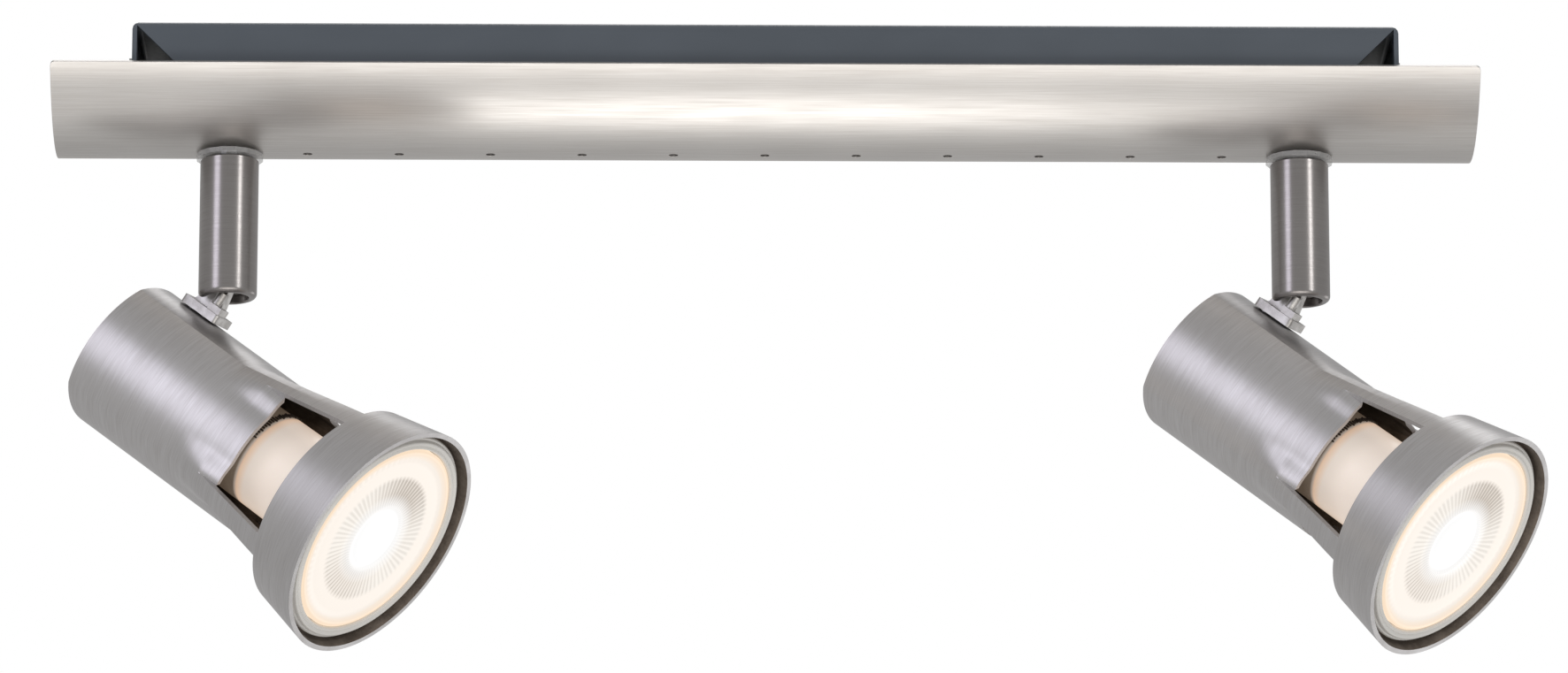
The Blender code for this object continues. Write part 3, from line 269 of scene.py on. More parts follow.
lensRings = {
    # from and to out from the lamp's axis, in mm
    "middle": (6.8, 11.2),
    "smooth": (14.4, 15.6),
    "edge": (19.6, 21.6),
}


def litLens(name, place):
    made, tree, shader = startMaterial(name, {"IOR": 1.49, "Emission Strength": 0.93, "Roughness": 0.3})
    coordinates = pieceCoordinates(tree, place)
    parts = addNode(tree, "ShaderNodeSeparateXYZ", {}, {0: coordinates.outputs[0]})
    flat = addNode(tree, "ShaderNodeCombineXYZ", {}, {1: parts.outputs["Y"], 2: parts.outputs["Z"]})
    radius = addNode(tree, "ShaderNodeVectorMath", {"operation": "LENGTH"}, {0: flat.outputs[0]})
    angle = addNode(tree, "ShaderNodeMath", {"operation": "ARCTAN2"},
                    {0: parts.outputs["Z"], 1: parts.outputs["Y"]})
    ribs = addNode(tree, "ShaderNodeMath", {"operation": "MULTIPLY", 1: lamp["ribs"]}, {0: angle.outputs[0]})
    wave = addNode(tree, "ShaderNodeMath", {"operation": "SINE"}, {0: ribs.outputs[0]})
    strip = between(tree, wave.outputs[0], 0.0, 1.0, -1.0, 1.0)
    lobes = addNode(tree, "ShaderNodeMath", {"operation": "MULTIPLY_ADD", 1: 2.0, 2: 3.4},
                    {0: angle.outputs[0]})
    lobe = addNode(tree, "ShaderNodeMath", {"operation": "COSINE"}, {0: lobes.outputs[0]})
    patches = between(tree, lobe.outputs[0], 0.6, 0.05, -0.5, 0.9)
    ribbed = blendColours(tree, strip.outputs[0], "#B3A89C", "#F1E8DE")
    cloudy = blendColours(tree, patches.outputs[0], ribbed.outputs[2], "#FFFAF2")
    outward = between(tree, radius.outputs["Value"], 0.0, 1.0, *lensRings["smooth"])
    inward = between(tree, radius.outputs["Value"], 1.0, 0.0, *lensRings["middle"])
    edge = between(tree, radius.outputs["Value"], 0.0, 1.0, *lensRings["edge"])
    outer = blendColours(tree, outward.outputs[0], cloudy.outputs[2], "#FBF2E8")
    middle = blendColours(tree, inward.outputs[0], outer.outputs[2], "#FFFFFF")
    warm = blendColours(tree, edge.outputs[0], middle.outputs[2], "#FBE2C6")
    tree.links.new(warm.outputs[2], shader.inputs["Emission Color"])
    base = blendColours(tree, edge.outputs[0], "#1E1C1A", "#3A322A")
    finishSurface(tree, shader, base.outputs[2])
    return made


# Glass-fibre sleeve: a plaited tube over two cores, dull and slightly hairy.

def plaitedSleeve():
    made, tree, shader = startMaterial("glassFibreSleeve", {"Sheen Weight": 0.2})
    coordinates = pieceCoordinates(tree)
    bands = {"Scale": 1 / 0.9, "Distortion": 0.6}       # one strand every 0.9 mm
    turned = addNode(tree, "ShaderNodeMapping", {"Rotation": (0.6, 0.5, math.radians(45))},
                     {"Vector": coordinates.outputs[0]})
    first = addNode(tree, "ShaderNodeTexWave", bands, {"Vector": turned.outputs[0]})
    second = addNode(tree, "ShaderNodeTexWave", {**bands, "bands_direction": "Y"},
                     {"Vector": turned.outputs[0]})
    weave = addNode(tree, "ShaderNodeMath", {"operation": "MULTIPLY"},
                    {0: first.outputs["Fac"], 1: second.outputs["Fac"]})
    colour = blendColours(tree, weave.outputs[0], "#B7B1A4", "#E9E4D8")
    rough = between(tree, weave.outputs[0], 0.8, 0.62, 0.0, 1.0)
    finishSurface(tree, shader, colour.outputs[2], rough.outputs[0], weave.outputs[0], 0.12, 0.8)
    return made


# the frames that the pieces are modelled in, read from the joints

head = {
    "pivotToAxis": 26.6,
    "pivotToRim": 68.6,
    "length": 79.3,
    "flat": 17.0,           # axis to the middle of each side
    "sideRadius": 21.0,
    "wall": 1.1,
    "rimRadius": 27.2,
    "slope": 0.198,
    "ringDepth": 14.1,
    "windowRear": 31.9,
    "tearStart": 37.5,
    "tearRear": 1.6,        # how far the side's edge still stands out at the window
    "armHalf": math.radians(7.0),
    "roll": math.radians(-9.5),     # the sides and arms stand turned from the hinge
    "flank": math.radians(0.4),
    "blendHalf": math.radians(18),
    "edge": 0.22,
    "holes": ((1.7, -71.9, 32), (2.1, -66.7, 48)),      # radius, place along the axis, segments
}


def stemFrame(name):
    hinge = Vector(joints[f"tilt_{name}"]["axis"])
    pan = math.atan2(-hinge.x, hinge.y)
    place = Vector(joints[f"pan_{name}"]["pos_m"])
    return Matrix.Translation((place.x, place.y, 0)) @ Matrix.Rotation(pan, 4, "Z")


def tiltFrame(name):
    ahead = Vector(joints[f"lamp_twist_{name}"]["axis"]).normalized()
    hinge = Vector(joints[f"tilt_{name}"]["axis"]).normalized()
    up = ahead.cross(hinge)
    turn = Matrix((ahead, hinge, up)).transposed().to_4x4()
    return Matrix.Translation(joints[f"tilt_{name}"]["pos_m"]) @ turn


def headFrame(name):
    shift = Matrix.Translation(Vector((head["pivotToRim"], 0, -head["pivotToAxis"])) * 0.001)
    return tiltFrame(name) @ shift


# shaping helpers

def arcPoints(centre, radius, start, end, steps):
    angles = [math.radians(start + (end - start) * i / steps) for i in range(steps + 1)]
    return [(centre[0] + radius * math.cos(a), centre[1] + radius * math.sin(a)) for a in angles]


def spinProfile(points, along="X", steps=96, closed=True):
    # turns (place, radius) points once round the axis
    bm = bmesh.new()
    verts = [bm.verts.new((a, 0, r) if along == "X" else (r, 0, a)) for a, r in points]
    pairs = list(zip(verts, verts[1:])) + ([(verts[-1], verts[0])] if closed else [])
    edges = [bm.edges.new(pair) for pair in pairs]
    axis = (1, 0, 0) if along == "X" else (0, 0, 1)
    bmesh.ops.spin(bm, geom=verts + edges, cent=(0, 0, 0), axis=axis, dvec=(0, 0, 0), angle=math.tau,
                   steps=steps, use_merge=True, use_duplicate=False)
    bmesh.ops.remove_doubles(bm, verts=bm.verts, dist=0.001)
    return bm


def extrudeOutline(points, low, high, along="Z"):
    # draws a flat outline straight from low to high along an axis
    order = {"X": lambda a, b: (low, a, b), "Y": lambda a, b: (a, low, b),
             "Z": lambda a, b: (a, b, low)}[along]
    shift = Vector([high - low if axis == along else 0 for axis in "XYZ"])
    bm = bmesh.new()
    face = bm.faces.new([bm.verts.new(order(a, b)) for a, b in points])
    grown = bmesh.ops.extrude_face_region(bm, geom=[face], use_keep_orig=True)
    moved = [item for item in grown["geom"] if isinstance(item, bmesh.types.BMVert)]
    bmesh.ops.translate(bm, vec=shift, verts=moved)
    bmesh.ops.recalc_face_normals(bm, faces=bm.faces)
    return bm


def cylinder(radius, low, high, along="Z", segments=32, place=(0, 0, 0)):
    bm = bmesh.new()
    turn = {"X": Matrix.Rotation(math.pi / 2, 4, "Y"), "Y": Matrix.Rotation(math.pi / 2, 4, "X"),
            "Z": Matrix.Identity(4)}[along]
    middle = Vector([(low + high) / 2 if axis == along else 0 for axis in "XYZ"])
    bmesh.ops.create_cone(bm, cap_ends=True, segments=segments, radius1=radius, radius2=radius,
                          depth=high - low, matrix=Matrix.Translation(Vector(place) + middle) @ turn)
    return bm


def softenEdges(bm, width, segments=3, sharpest=35):
    edges = [edge for edge in bm.edges
             if len(edge.link_faces) == 2 and edge.calc_face_angle() > math.radians(sharpest)]
    bmesh.ops.bevel(bm, geom=edges, offset=width, offset_type="OFFSET", segments=segments, profile=0.5,
                    affect="EDGES", material=-1, clamp_overlap=True)


def temporaryObject(bm, name):
    mesh = bpy.data.meshes.new(name)
    bm.to_mesh(mesh)
    bm.free()
    made = bpy.data.objects.new(name, mesh)
    scene.collection.objects.link(made)
    return made


def combined(bodies):
    # one bmesh that holds several closed bodies side by side
    result = bmesh.new()
    for body in bodies:
        mesh = bpy.data.meshes.new("part")
        body.to_mesh(mesh)
        body.free()
        result.from_mesh(mesh)
        bpy.data.meshes.remove(mesh)
    return result


def carve(bm, tool, operation="DIFFERENCE"):
    # cuts a body with a tool body, or joins them, and returns the result as a bmesh
    target, cutter = temporaryObject(bm, "target"), temporaryObject(tool, "cutter")
    step = target.modifiers.new("carve", "BOOLEAN")
    step.operation = operation
    step.solver = "EXACT"
    step.object = cutter
    evaluated = target.evaluated_get(bpy.context.evaluated_depsgraph_get())
    result = bmesh.new()
    result.from_mesh(evaluated.to_mesh())
    evaluated.to_mesh_clear()
    for made in (target, cutter):
        mesh = made.data
        bpy.data.objects.remove(made)
        bpy.data.meshes.remove(mesh)
    return result


def finishPiece(bm, name, body, finish, place=None, stands=(), sharpest=40, edge=0.0, inside=None):
    # puts a body modelled in millimetres in its place and hangs it on its CAD body
    bmesh.ops.remove_doubles(bm, verts=bm.verts, dist=0.0005)
    bmesh.ops.recalc_face_normals(bm, faces=bm.faces)
    # faces turned towards the axis take the inside finish, whose darker colour paints the shade inside the
    # shell
    if inside:
        for face in bm.faces:
            middle = face.calc_center_median()
            axial = Vector((0, middle.y, middle.z)).normalized()
            face.material_index = int(face.normal.dot(axial) < -0.3)
    bmesh.ops.transform(bm, matrix=(place or Matrix.Identity(4)) @ toMetres, verts=bm.verts)
    mesh = bpy.data.meshes.new(name)
    bm.to_mesh(mesh)
    bm.free()
    mesh.shade_smooth()
    mesh.set_sharp_from_angle(angle=math.radians(sharpest))
    for used in (finish, inside):
        if used:
            mesh.materials.append(used)
    made = bpy.data.objects.new(name, mesh)
    scene.collection.objects.link(made)
    if edge:
        bevel = made.modifiers.new("edges", "BEVEL")
        bevel.width = edge * 0.001
        bevel.segments = 2
        bevel.limit_method = "ANGLE"
        bevel.angle_limit = math.radians(35)
        bevel.harden_normals = True
    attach(made, body)
    if stands:
        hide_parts(*stands)
    return made


def dressNode(node, finish):
    frame["nodes"][node].material_slots[0].material = finish


# curved cover: sheet rolled to an arc, eleven small holes along its lowest line

bar = {
    "sheet": 1.0,
    "corner": 1.0,
    "holes": 11,
    "holePitch": 20.0,
    "holeRadius": 1.0,
    "stemHole": 3.3,
    "columns": 124,
    "rows": 48,
    "edge": 0.14,
}


def makeBarCover(finish):
    low, high = (corner * 1000 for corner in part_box("bar_cover"))
    width, drop = high.y - low.y, low.z
    depth = high.z - low.z
    for _ in range(8):      # the box's top is the sheet's inner edge, so the outer edge is a little lower
        radius = ((width / 2) ** 2 + depth**2) / (2 * depth)
        halfAngle = math.asin(width / 2 / radius)
        depth = high.z - low.z - bar["sheet"] * math.cos(halfAngle)
    centreZ = drop + radius
    bm = bmesh.new()
    bmesh.ops.create_grid(bm, x_segments=bar["columns"], y_segments=bar["rows"], size=0.5)
    corners = [vert for vert in bm.verts if len(vert.link_edges) == 2]
    for vert in bm.verts:
        angle = vert.co.y * 2 * halfAngle
        vert.co = Vector((vert.co.x * (high.x - low.x), radius * math.sin(angle),
                          centreZ - radius * math.cos(angle)))
    bmesh.ops.bevel(bm, geom=corners, offset=bar["corner"], segments=4, profile=0.5, affect="VERTICES",
                    material=-1)
    bm.faces.ensure_lookup_table()
    bm.normal_update()
    if sum(face.normal.z for face in bm.faces) > 0:
        bmesh.ops.reverse_faces(bm, faces=bm.faces)
    bmesh.ops.solidify(bm, geom=bm.faces, thickness=bar["sheet"])
    if min(vert.co.z for vert in bm.verts) < low.z - 0.1:
        bmesh.ops.translate(bm, verts=bm.verts, vec=(0, 0, bar["sheet"]))
    first = -(bar["holes"] - 1) / 2 * bar["holePitch"]
    holes = [cylinder(bar["holeRadius"], low.z - 1, low.z + 3, place=(first + i * bar["holePitch"], 0, 0))
             for i in range(bar["holes"])]
    for name in sides:
        x = joints[f"pan_{name}"]["pos_m"][0] * 1000
        holes.append(cylinder(bar["stemHole"], low.z - 1, low.z + 3, place=(x, 0, 0)))
    bm = carve(bm, combined(holes))
    finishPiece(bm, "curvedCover", "root", finish, stands=["bar_cover"], edge=bar["edge"])


# spot heads

def bodyRadius(angle):
    # four sides, each a shallow arc; the angle is measured from the nearest corner
    offset = head["sideRadius"] - head["flat"]
    across = math.pi / 4 - abs(angle)
    along = offset * math.cos(across)
    return -along + math.sqrt(along**2 + head["sideRadius"] ** 2 - offset**2)


def smoothStep(value):
    value = min(max(value, 0.0), 1.0)
    return value * value * (3 - 2 * value)


def headRadius(angle, back):
    # the corners swell into four arms that follow the rim's cone, and the sides stop swelling where they
    # tear free
    cone = head["rimRadius"] - head["slope"] * back
    if back <= head["ringDepth"]:
        return cone
    corner = bodyRadius(0)
    start = (head["rimRadius"] - corner) / head["slope"]
    body = bodyRadius(angle)
    if back >= start:
        return body
    lift = cone - corner
    if abs(angle) <= head["armHalf"] + 0.0001:
        share = smoothStep((start - back) / (start - head["ringDepth"]))
        return (body + lift) * (1 - share**3) + cone * share**3
    edge = lift
    if back < head["tearStart"]:
        share = max((back - head["windowRear"]) / (head["tearStart"] - head["windowRear"]), 0)
        top = head["rimRadius"] - head["slope"] * head["tearStart"] - corner
        edge = top + (head["tearRear"] - top) * (1 - share)
    return body + edge * smoothStep(1 - (abs(angle) - head["armHalf"]) / head["blendHalf"])


def spread(start, end, steps):
    return [start + (end - start) * i / steps for i in range(steps)]


def boundaryLoops(bm):
    # the open edges, sorted into closed rings
    waiting = {edge for edge in bm.edges if len(edge.link_faces) == 1}
    loops = []
    while waiting:
        loop, front = [], [waiting.pop()]
        while front:
            edge = front.pop()
            loop.append(edge)
            for vert in edge.verts:
                for other in vert.link_edges:
                    if other in waiting:
                        waiting.remove(other)
                        front.append(other)
        loops.append(loop)
    return loops


def loopCentre(loop):
    return sum((edge.verts[0].co + edge.verts[1].co for edge in loop), Vector()) / (2 * len(loop))


def makeHeadShell(name, finish, inside):
    outer, inner = math.pi / 4, head["armHalf"] + head["flank"]
    beside = [inner + (outer - inner) * (i / 16) ** 1.6 for i in range(16, 0, -1)]
    corner = [-angle for angle in beside] + [-inner] + spread(-head["armHalf"], head["armHalf"], 8)
    corner += [head["armHalf"], inner] + list(reversed(beside))[:-1]
    columns = [(quarter, angle) for quarter in range(4) for angle in corner]
    start = (head["rimRadius"] - bodyRadius(0)) / head["slope"]
    rows = spread(head["length"], start, 10) + spread(start, head["tearStart"], 12)
    rows += spread(head["tearStart"], head["windowRear"], 10)
    rows += spread(head["windowRear"], head["ringDepth"], 8) + spread(head["ringDepth"], 0, 6) + [0]

    def at(column, back):
        quarter, angle = column
        turn = head["roll"] + math.pi / 4 + quarter * math.pi / 2 + angle
        radius = headRadius(angle, back)
        return Vector((-back, radius * math.cos(turn), radius * math.sin(turn)))

    bm = bmesh.new()
    ring = bmesh.ops.create_circle(bm, segments=len(columns), radius=head["flat"])["verts"]
    for vert, column in zip(ring, columns):
        vert.co = at(column, rows[0])
    rim = bm.edges[:]
    last = {vert: index for index, vert in enumerate(ring)}     # the column of each corner of the rim
    windows = []
    for back in rows[1:]:
        grown = bmesh.ops.extrude_edge_only(bm, edges=rim)["geom"]
        fresh = {}
        for vert in (item for item in grown if isinstance(item, bmesh.types.BMVert)):
            before = next(edge.other_vert(vert) for edge in vert.link_edges if edge.other_vert(vert) in last)
            fresh[vert] = last[before]
            vert.co = at(columns[last[before]], back)
        rim = [item for item in grown if isinstance(item, bmesh.types.BMEdge)
               and all(vert in fresh for vert in item.verts)]
        if head["ringDepth"] - 0.01 <= back < head["windowRear"]:
            for face in (item for item in grown if isinstance(item, bmesh.types.BMFace)):
                angles = [abs(columns[fresh[vert]][1]) for vert in face.verts if vert in fresh]
                if max(angles) > head["armHalf"] + 0.001:
                    windows.append(face)
        last = fresh
    bmesh.ops.delete(bm, geom=windows, context="FACES")
    bmesh.ops.recalc_face_normals(bm, faces=bm.faces)
    outside = boundaryLoops(bm)
    copy = bmesh.ops.duplicate(bm, geom=bm.faces[:])["geom"]
    for vert in (item for item in copy if isinstance(item, bmesh.types.BMVert)):
        axial = Vector((vert.co.x, 0, 0))
        vert.co = axial + (vert.co - axial) * (1 - head["wall"] / (vert.co - axial).length)
    bmesh.ops.reverse_faces(bm, faces=[item for item in copy if isinstance(item, bmesh.types.BMFace)])
    known = {edge for loop in outside for edge in loop}
    insideLoops = [loop for loop in boundaryLoops(bm) if loop[0] not in known]
    for loop in outside:
        middle = loopCentre(loop)
        partner = min(insideLoops, key=lambda other: (loopCentre(other) - middle).length)
        bmesh.ops.bridge_loops(bm, edges=loop + partner)
    holes = [cylinder(radius, head["flat"] - 4, head["flat"] + 2, place=(place, 0, 0), segments=segments)
             for radius, place, segments in head["holes"]]
    bm = carve(bm, combined(holes))
    finishPiece(bm, f"headShell_{name}", f"head_{name}", finish, headFrame(name),
                [f"head_shell_{name}"], sharpest=12, edge=head["edge"], inside=inside)


# lamps: GU10 reflector lamps, 50 mm across the front

lamp = {
    "radius": 25.0,
    "front": -1.0,
    "lensRadius": 22.0,
    "lensBack": -3.8,
    "neckRadius": 11.1,
    "neckTail": 10.8,
    "neckEnd": -40.5,
    "dishEnd": -13.0,
    "wall": 1.1,
    "ribs": 72,
    "marks": 22,
    "marksFrom": 84.0,      # degrees round the neck
    "marksPitch": 3.7,
    "marksPlace": -34.9,
}


def dishRadius(share):
    bulge = math.cos(share * math.pi / 2) ** 0.8
    return lamp["neckRadius"] + 0.4 + (lamp["radius"] - 1.4 - lamp["neckRadius"]) * bulge


def makeLampGlass(name, finish):
    front, radius = lamp["front"], lamp["radius"]
    rimBack = front - 2.6
    outside = arcPoints((front - 0.5, radius - 1.3), 0.5, 0, 90, 4)            # small bead at the front
    outside += [(front - 0.9, radius - 0.6)] + arcPoints((front - 1.3, radius - 0.4), 0.4, 0, 90, 3)
    outside += arcPoints((rimBack + 0.4, radius - 0.4), 0.4, 90, 180, 3)
    steps = 18
    for i in range(steps + 1):
        outside.append((rimBack + (lamp["dishEnd"] - rimBack) * i / steps, dishRadius(i / steps)))
    outside += [(lamp["dishEnd"] - 1.0, lamp["neckRadius"] + 0.05), (lamp["neckEnd"], lamp["neckTail"])]
    inside = [(lamp["neckEnd"], lamp["neckTail"] - lamp["wall"]),
              (lamp["dishEnd"] + 0.2, lamp["neckRadius"] - lamp["wall"] - 0.2)]
    for i in range(steps, 2, -1):
        inside.append((rimBack + (lamp["dishEnd"] - rimBack) * i / steps + lamp["wall"],
                       dishRadius(i / steps) - 1.2))
    inside = [point for point in inside if point[0] < lamp["lensBack"] - 1.0]
    seat, lip = lamp["lensBack"] - 0.2, lamp["lensRadius"] + 0.3
    inside += [(seat, lamp["lensRadius"] - 0.9), (seat, lip), (front - 0.5, lip), (front - 0.4, lip + 0.1)]
    inside += arcPoints((front - 0.4, lip + 0.42), 0.32, 270, 360, 4)[1:] + [(front - 0.45, lip + 0.8)]
    bm = spinProfile(outside + inside, steps=112)
    finishPiece(bm, f"lampGlass_{name}", f"lamp_{name}", finish, headFrame(name),
                [f"lamp_glass_{name}"], sharpest=30)


def makeNeckMarks(name, finish):
    # a generic row of short ticks round the back of the neck, where such a lamp carries its print
    bars = []
    for i in range(lamp["marks"]):
        angle = math.radians(lamp["marksFrom"] + i * lamp["marksPitch"])
        bar = bmesh.new()
        bmesh.ops.create_cube(bar, size=1.0)
        bmesh.ops.scale(bar, vec=(1.1 + 0.6 * (i % 3 == 0), 0.3, 0.34), verts=bar.verts)
        softenEdges(bar, 0.03, 1)
        bmesh.ops.translate(bar, vec=(lamp["marksPlace"], lamp["neckRadius"] - 0.04, 0), verts=bar.verts)
        bmesh.ops.rotate(bar, cent=(0, 0, 0), matrix=Matrix.Rotation(angle, 3, "X"), verts=bar.verts)
        bars.append(bar)
    finishPiece(combined(bars), f"neckMarks_{name}", f"lamp_{name}", finish, headFrame(name))


def makeLampLens(name, finish):
    # a flat disc with a ring of fine radial ribs round a shallow centre dome
    front, radius = lamp["front"] - 0.4, lamp["lensRadius"]
    profile = [(lamp["lensBack"], 0), (lamp["lensBack"], radius), (front - 0.25, radius),
               (front, radius - 0.25), (front, radius - 1.4), (front - 0.35, radius - 1.7)]
    profile += [(front - 0.35, radius - 1.7 - (radius * 0.62 - 1.7) * i / 6) for i in range(1, 7)]
    profile += [(front - 0.1, radius * 0.36)]
    for angle in (75, 60, 45, 30, 15, 0):
        turn = math.radians(angle)
        profile.append((front - 0.1 + 0.5 * math.cos(turn) - 0.5, radius * 0.34 * math.sin(turn)))
    bm = spinProfile(profile, steps=lamp["ribs"] * 2, closed=False)
    ribTop, ribLow = radius - 1.8, radius * 0.37
    for vert in bm.verts:
        out = math.hypot(vert.co.y, vert.co.z)
        if ribLow < out < ribTop and vert.co.x > lamp["lensBack"] + 1:
            step = round(math.atan2(vert.co.z, vert.co.y) / (math.pi / lamp["ribs"]))
            if step % 2:
                vert.co.x += 0.22 * min(1.0, (ribTop - out) / 1.0, (out - ribLow) / 1.0)
    finishPiece(bm, f"lampLens_{name}", f"lamp_{name}", finish, headFrame(name),
                [f"lamp_lens_{name}"], sharpest=60)


# stems

stem = {
    "edge": 1.1,
    "bore": 4.6,
    "plate": 2.5,
    "nippleHole": 3.3,
    "slotWidth": 6.4,
    "slotAbovePivot": 4.4,
}


def makeStem(name, finish):
    low, high = (corner * 1000 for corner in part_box(f"stem_tube_{name}"))
    radius = (high.y - low.y) / 2
    edge = stem["edge"]
    profile = [(high.z, stem["nippleHole"]), (high.z, radius - 0.25), (high.z - 0.25, radius)]
    bend = [(low.z + edge - edge * math.sin(a), radius - edge + edge * math.cos(a))
            for a in map(math.radians, range(0, 91, 15))]
    plateLow = high.z - stem["plate"]
    profile += bend + [(low.z, stem["bore"] + 0.2), (low.z + 0.2, stem["bore"]), (plateLow, stem["bore"]),
                       (plateLow, stem["nippleHole"])]
    bm = spinProfile(profile, along="Z", steps=96)
    top = joints[f"tilt_{name}"]["pos_m"][2] * 1000 + stem["slotAbovePivot"]
    half = stem["slotWidth"] / 2
    outline = [(-half, low.z - 1), (half, low.z - 1)] + arcPoints((half - 0.8, top - 0.8), 0.8, 0, 90, 4)
    outline += arcPoints((-half + 0.8, top - 0.8), 0.8, 90, 180, 4)
    bm = carve(bm, extrudeOutline(outline, -radius - 1, -stem["bore"] / 2, "X"))
    finishPiece(bm, f"stemTube_{name}", f"stem_{name}", finish, stemFrame(name),
                [f"stem_tube_{name}"], edge=0.12)


# knuckles: a small casting with a foot, a flat web with an eye, and a round post on a square base

knuckle = {
    "footLength": 10.5,
    "footWidth": 7.0,
    "footThick": 1.9,
    "webLength": 7.0,
    "eyeRadius": 2.4,
    "eyeThick": 2.2,
    "pinHole": 1.15,
    "post": (1.9, -1.3, 1.2),       # forward, sideways, radius
    "postTop": -2.8,
    "base": 3.4,
    "baseHeight": 1.6,
    "gap": 0.3,
}


def makeKnuckle(name, finish):
    size = knuckle
    footLow = -head["pivotToAxis"] + head["flat"] + size["gap"]
    footHigh = footLow + size["footThick"]
    half, wide, corner = size["footLength"] / 2, size["footWidth"] / 2, 0.9
    outline = []
    for x, y, start in ((half, wide, 0), (-half, wide, 90), (-half, -wide, 180), (half, -wide, 270)):
        centre = (x - math.copysign(corner, x), y - math.copysign(corner, y))
        outline += arcPoints(centre, corner, start, start + 90, 5)
    bm = extrudeOutline(outline, footLow, footHigh)
    # the web's sides curve in from the foot to the round eye
    side, rise = size["webLength"] / 2, 1.0
    fillet = [(side + rise, footHigh)] + arcPoints((side + rise, footHigh + rise), rise, 270, 180, 5)[1:]
    web = [(-side - rise, footHigh - 1), (side + rise, footHigh - 1)] + fillet
    web += arcPoints((0, 0), size["eyeRadius"], -20, 200, 22)
    web += [(-x, z) for x, z in reversed(fillet)]
    bm = carve(bm, extrudeOutline(web, -size["eyeThick"] / 2, size["eyeThick"] / 2, "Y"), "UNION")
    forward, sideways, radius = size["post"]
    base = size["base"] / 2
    block = [(half - 0.6 - 2 * base, sideways - base), (half - 0.6, sideways - base),
             (half - 0.6, sideways + base), (half - 0.6 - 2 * base, sideways + base)]
    bm = carve(bm, extrudeOutline(block, footHigh - 0.5, footHigh + size["baseHeight"]), "UNION")
    post = cylinder(radius, footHigh - 0.4, size["postTop"], segments=40, place=(forward, sideways, 0))
    bm = carve(bm, post, "UNION")
    bm = carve(bm, cylinder(size["pinHole"], -3, 3, "Y"))
    finishPiece(bm, f"knuckleCasting_{name}", f"head_{name}", finish, tiltFrame(name),
                [f"knuckle_{name}"], edge=0.22)


finishes = {
    "bar": satinNickel("satinNickelBar", "#D3D0CD", "#C4C0BC", (16.0, 0.30, 0.30), 0.34, depth=0.0015),
    "tray": stoveEnamel(),
    "zinc": grainedFinish("castZinc", "#CFCDCB", "#A9A6A3", 0.35, 0.42, 1.0, 0.03),
    "steel": grainedFinish("zincPlatedSteel", "#CACBCC", "#B2B1AE", 0.3, 0.33, 1.0, 0.008),
    "brass": grainedFinish("turnedBrass", "#D9B878", "#C0985A", 0.3, 0.33, 1.0, 0.008),
    "ceramic": grainedFinish("unglazedSteatite", "#EDE7DA", "#DDD5C4", 0.4, 0.62, 0.0, 0.03),
    "plastic": grainedFinish("mouldedPolyamide", "#EDECE8", "#E2E0DA", 0.5, 0.48, 0.0, 0.015),
    "rubber": grainedFinish("mouldedRubber", "#26272A", "#1B1C1E", 0.4, 0.72, 0.0, 0.03),
    "nylon": grainedFinish("clearNylon", "#C6C5C4", "#BCBBBA", 0.6, 0.3, 0.0, 0.002,
                           {"Alpha": 0.4, "IOR": 1.53}),
    # inside finish: a darker brown nickel on the shell's inward faces that paints the shade inside the shell,
    # over a duller surface
    "inside": grainedFinish("paintedShadeNickelInside", "#857B72", "#675E56", 0.5, 0.5, 1.0, 0.01),
    "ink": grainedFinish("darkPrintedMarks", "#4A4038", "#3A322C", 0.3, 0.6, 0.0, 0.01),
    "led": grainedFinish("ledBoard", "#F6EFC2", "#EFE3A0", 0.8, 0.5, 0.0, 0.01,
                         {"Emission Strength": 0.8, "Emission Color": linearColour("#FFF0D0")}),
    "sleeve": plaitedSleeve(),
}
print("finishes ready")

makeBarCover(finishes["bar"])
print("cover made")

for name in sides:
    place = headFrame(name)
    headFinish = satinNickel(f"satinNickelHead_{name}", "#CFCDCD", "#BFBCBB", (0.30, 8.0, 8.0), 0.4, "X",
                             place, 0.0012)
    stemFinish = satinNickel(f"turnedNickelStem_{name}", "#A19D9B", "#979391", (8.0, 8.0, 0.25), 0.3, "Z",
                             stemFrame(name), 0.0004)
    makeHeadShell(name, headFinish, finishes["inside"])
    makeLampGlass(name, frostedGlass(f"frostedGlass_{name}", place))
    makeLampLens(name, litLens(f"litLens_{name}", place))
    makeNeckMarks(name, finishes["ink"])
    makeStem(name, stemFinish)
    makeKnuckle(name, finishes["zinc"])
    dressNode(f"rear_cap_{name}", headFinish)
    for node, finish in (("cover_tab", "steel"), ("cover_screw", "steel"), ("nipple", "steel"),
                         ("lock_washer", "steel"), ("nipple_nut", "steel"), ("stem_washer", "nylon"),
                         ("friction_washer", "steel"), ("retaining_nut", "brass"), ("tray_lead", "sleeve"),
                         ("clevis", "zinc"), ("hinge_pin", "steel"), ("holder_bracket", "steel"),
                         ("knuckle_screw", "steel"), ("lampholder", "ceramic"), ("head_lead", "sleeve"),
                         ("led_module", "led"), ("lamp_base", "plastic")):
        dressNode(f"{node}_{name}", finishes[finish])
    for number in (1, 2):
        dressNode(f"holder_screw_{name}_{number}", finishes["steel"])
        dressNode(f"lamp_pin_{name}_{number}", finishes["steel"])
    print("spot made:", name)

for node, finish in (("mounting_tray", "tray"), ("entry_grommet", "rubber"), ("terminal_block", "plastic"),
                     ("earth_screw", "brass")):
    dressNode(node, finishes[finish])


# studio: white surroundings and soft lights: one on each side, one low in front, one straight below, one
# above behind, and a small one that brings out the rims' lips

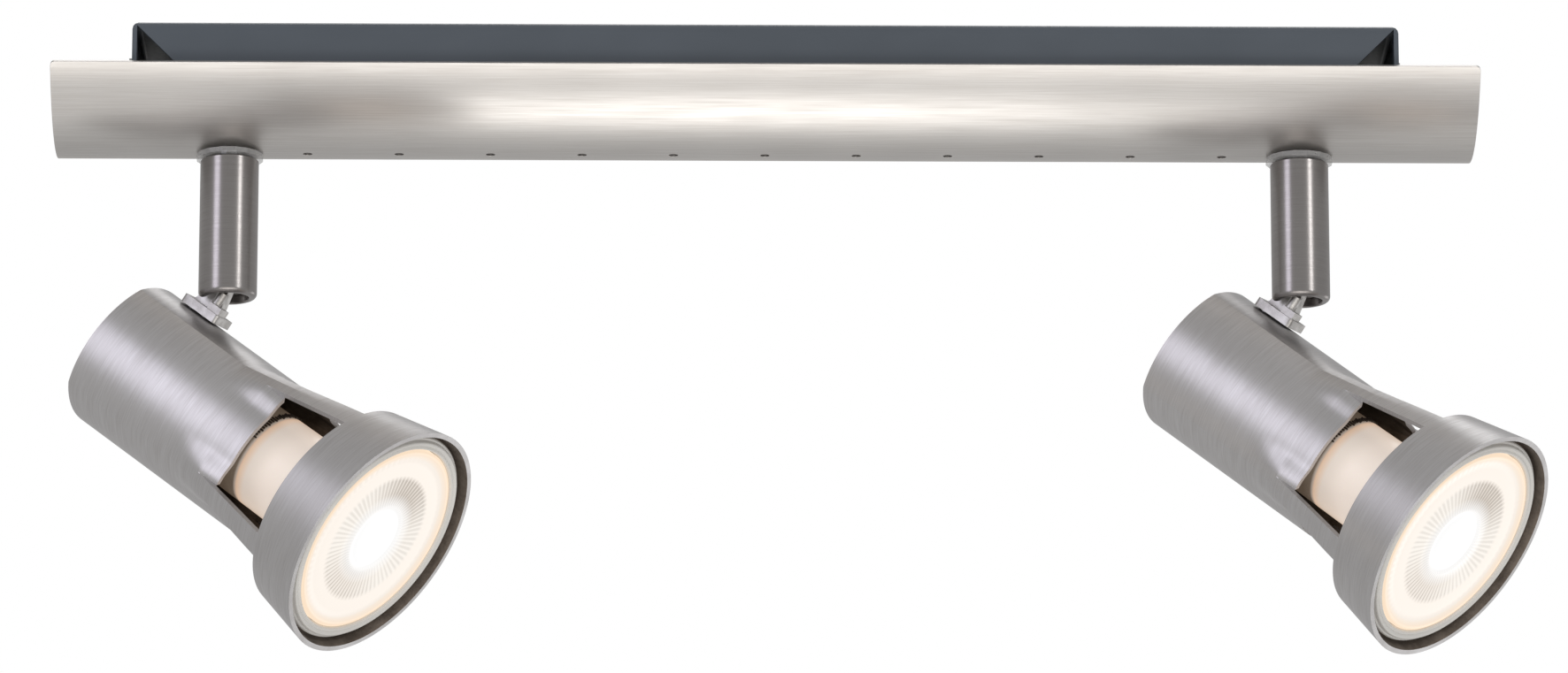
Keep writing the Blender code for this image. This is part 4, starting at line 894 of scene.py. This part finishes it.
studio = {
    "floorHeight": -4.0,
    "surround": 0.50,
    "backdrop": 1.0,
    "lights": (
        # azimuth from the camera's side, elevation, distance, width, height, power, colour
        ("frontLow", 0, -40, 1.2, 1.5, 0.42, 4.0, "#FFFBF6"),
        ("underMiddle", 180, -86, 1.0, 0.26, 0.60, 1.0, "#FFFCF8"),
        ("leftTall", -50, 14, 1.4, 0.5, 1.2, 3.3, "#F0EEFF"),
        ("rightTall", 42, 18, 1.4, 0.24, 1.2, 3.5, "#FFFFFF"),
        ("lipGlint", 132, -20, 1.3, 0.5, 0.5, 0.7, "#FFFFFF"),
        ("topBack", 180, 60, 1.3, 1.2, 0.6, 3.0, "#FFFFFF"),
    ),
}


def makeFloor():
    bm = bmesh.new()
    bmesh.ops.create_grid(bm, x_segments=2, y_segments=2, size=4.0)
    bmesh.ops.translate(bm, verts=bm.verts, vec=(0, 0, studio["floorHeight"]))
    mesh = bpy.data.meshes.new("floor")
    bm.to_mesh(mesh)
    bm.free()
    mesh.materials.append(grainedFinish("paleFloor", "#F4F4F3", "#EFEFEE", 40.0, 0.8, extra={
        "Emission Strength": 0.2, "Emission Color": linearColour("#FFFFFF")}))
    floor = bpy.data.objects.new("floor", mesh)
    scene.collection.objects.link(floor)


def makeLights():
    target = Vector(view["target"]) * 0.001
    for name, azimuth, elevation, distance, width, height, power, colour in studio["lights"]:
        turn, rise = math.radians(azimuth), math.radians(elevation)
        away = Vector((math.sin(turn) * math.cos(rise), -math.cos(turn) * math.cos(rise), math.sin(rise)))
        data = bpy.data.lights.new(name, "AREA")
        data.shape = "ELLIPSE"
        data.size, data.size_y = width, height
        data.energy = power
        data.color = linearColour(colour)[:3]
        light = bpy.data.objects.new(name, data)
        light.location = target + away * distance
        light.rotation_euler = (-away).to_track_quat("-Z", "Y").to_euler()
        light.visible_camera = False
        scene.collection.objects.link(light)


def makeSurround():
    world = bpy.data.worlds.new("studio")
    scene.world = world
    world.use_nodes = True
    tree = world.node_tree
    tree.nodes.clear()
    path = addNode(tree, "ShaderNodeLightPath", {})
    plain = linearColour("#FFFFFF")
    soft = addNode(tree, "ShaderNodeBackground", {"Color": plain, "Strength": studio["surround"]})
    white = addNode(tree, "ShaderNodeBackground", {"Color": plain, "Strength": studio["backdrop"]})
    mixed = addNode(tree, "ShaderNodeMixShader", {}, {0: path.outputs["Is Camera Ray"], 1: soft.outputs[0],
                                                      2: white.outputs[0]})
    addNode(tree, "ShaderNodeOutputWorld", {}, {"Surface": mixed.outputs[0]})


makeFloor()
makeLights()
makeSurround()
print("studio ready")
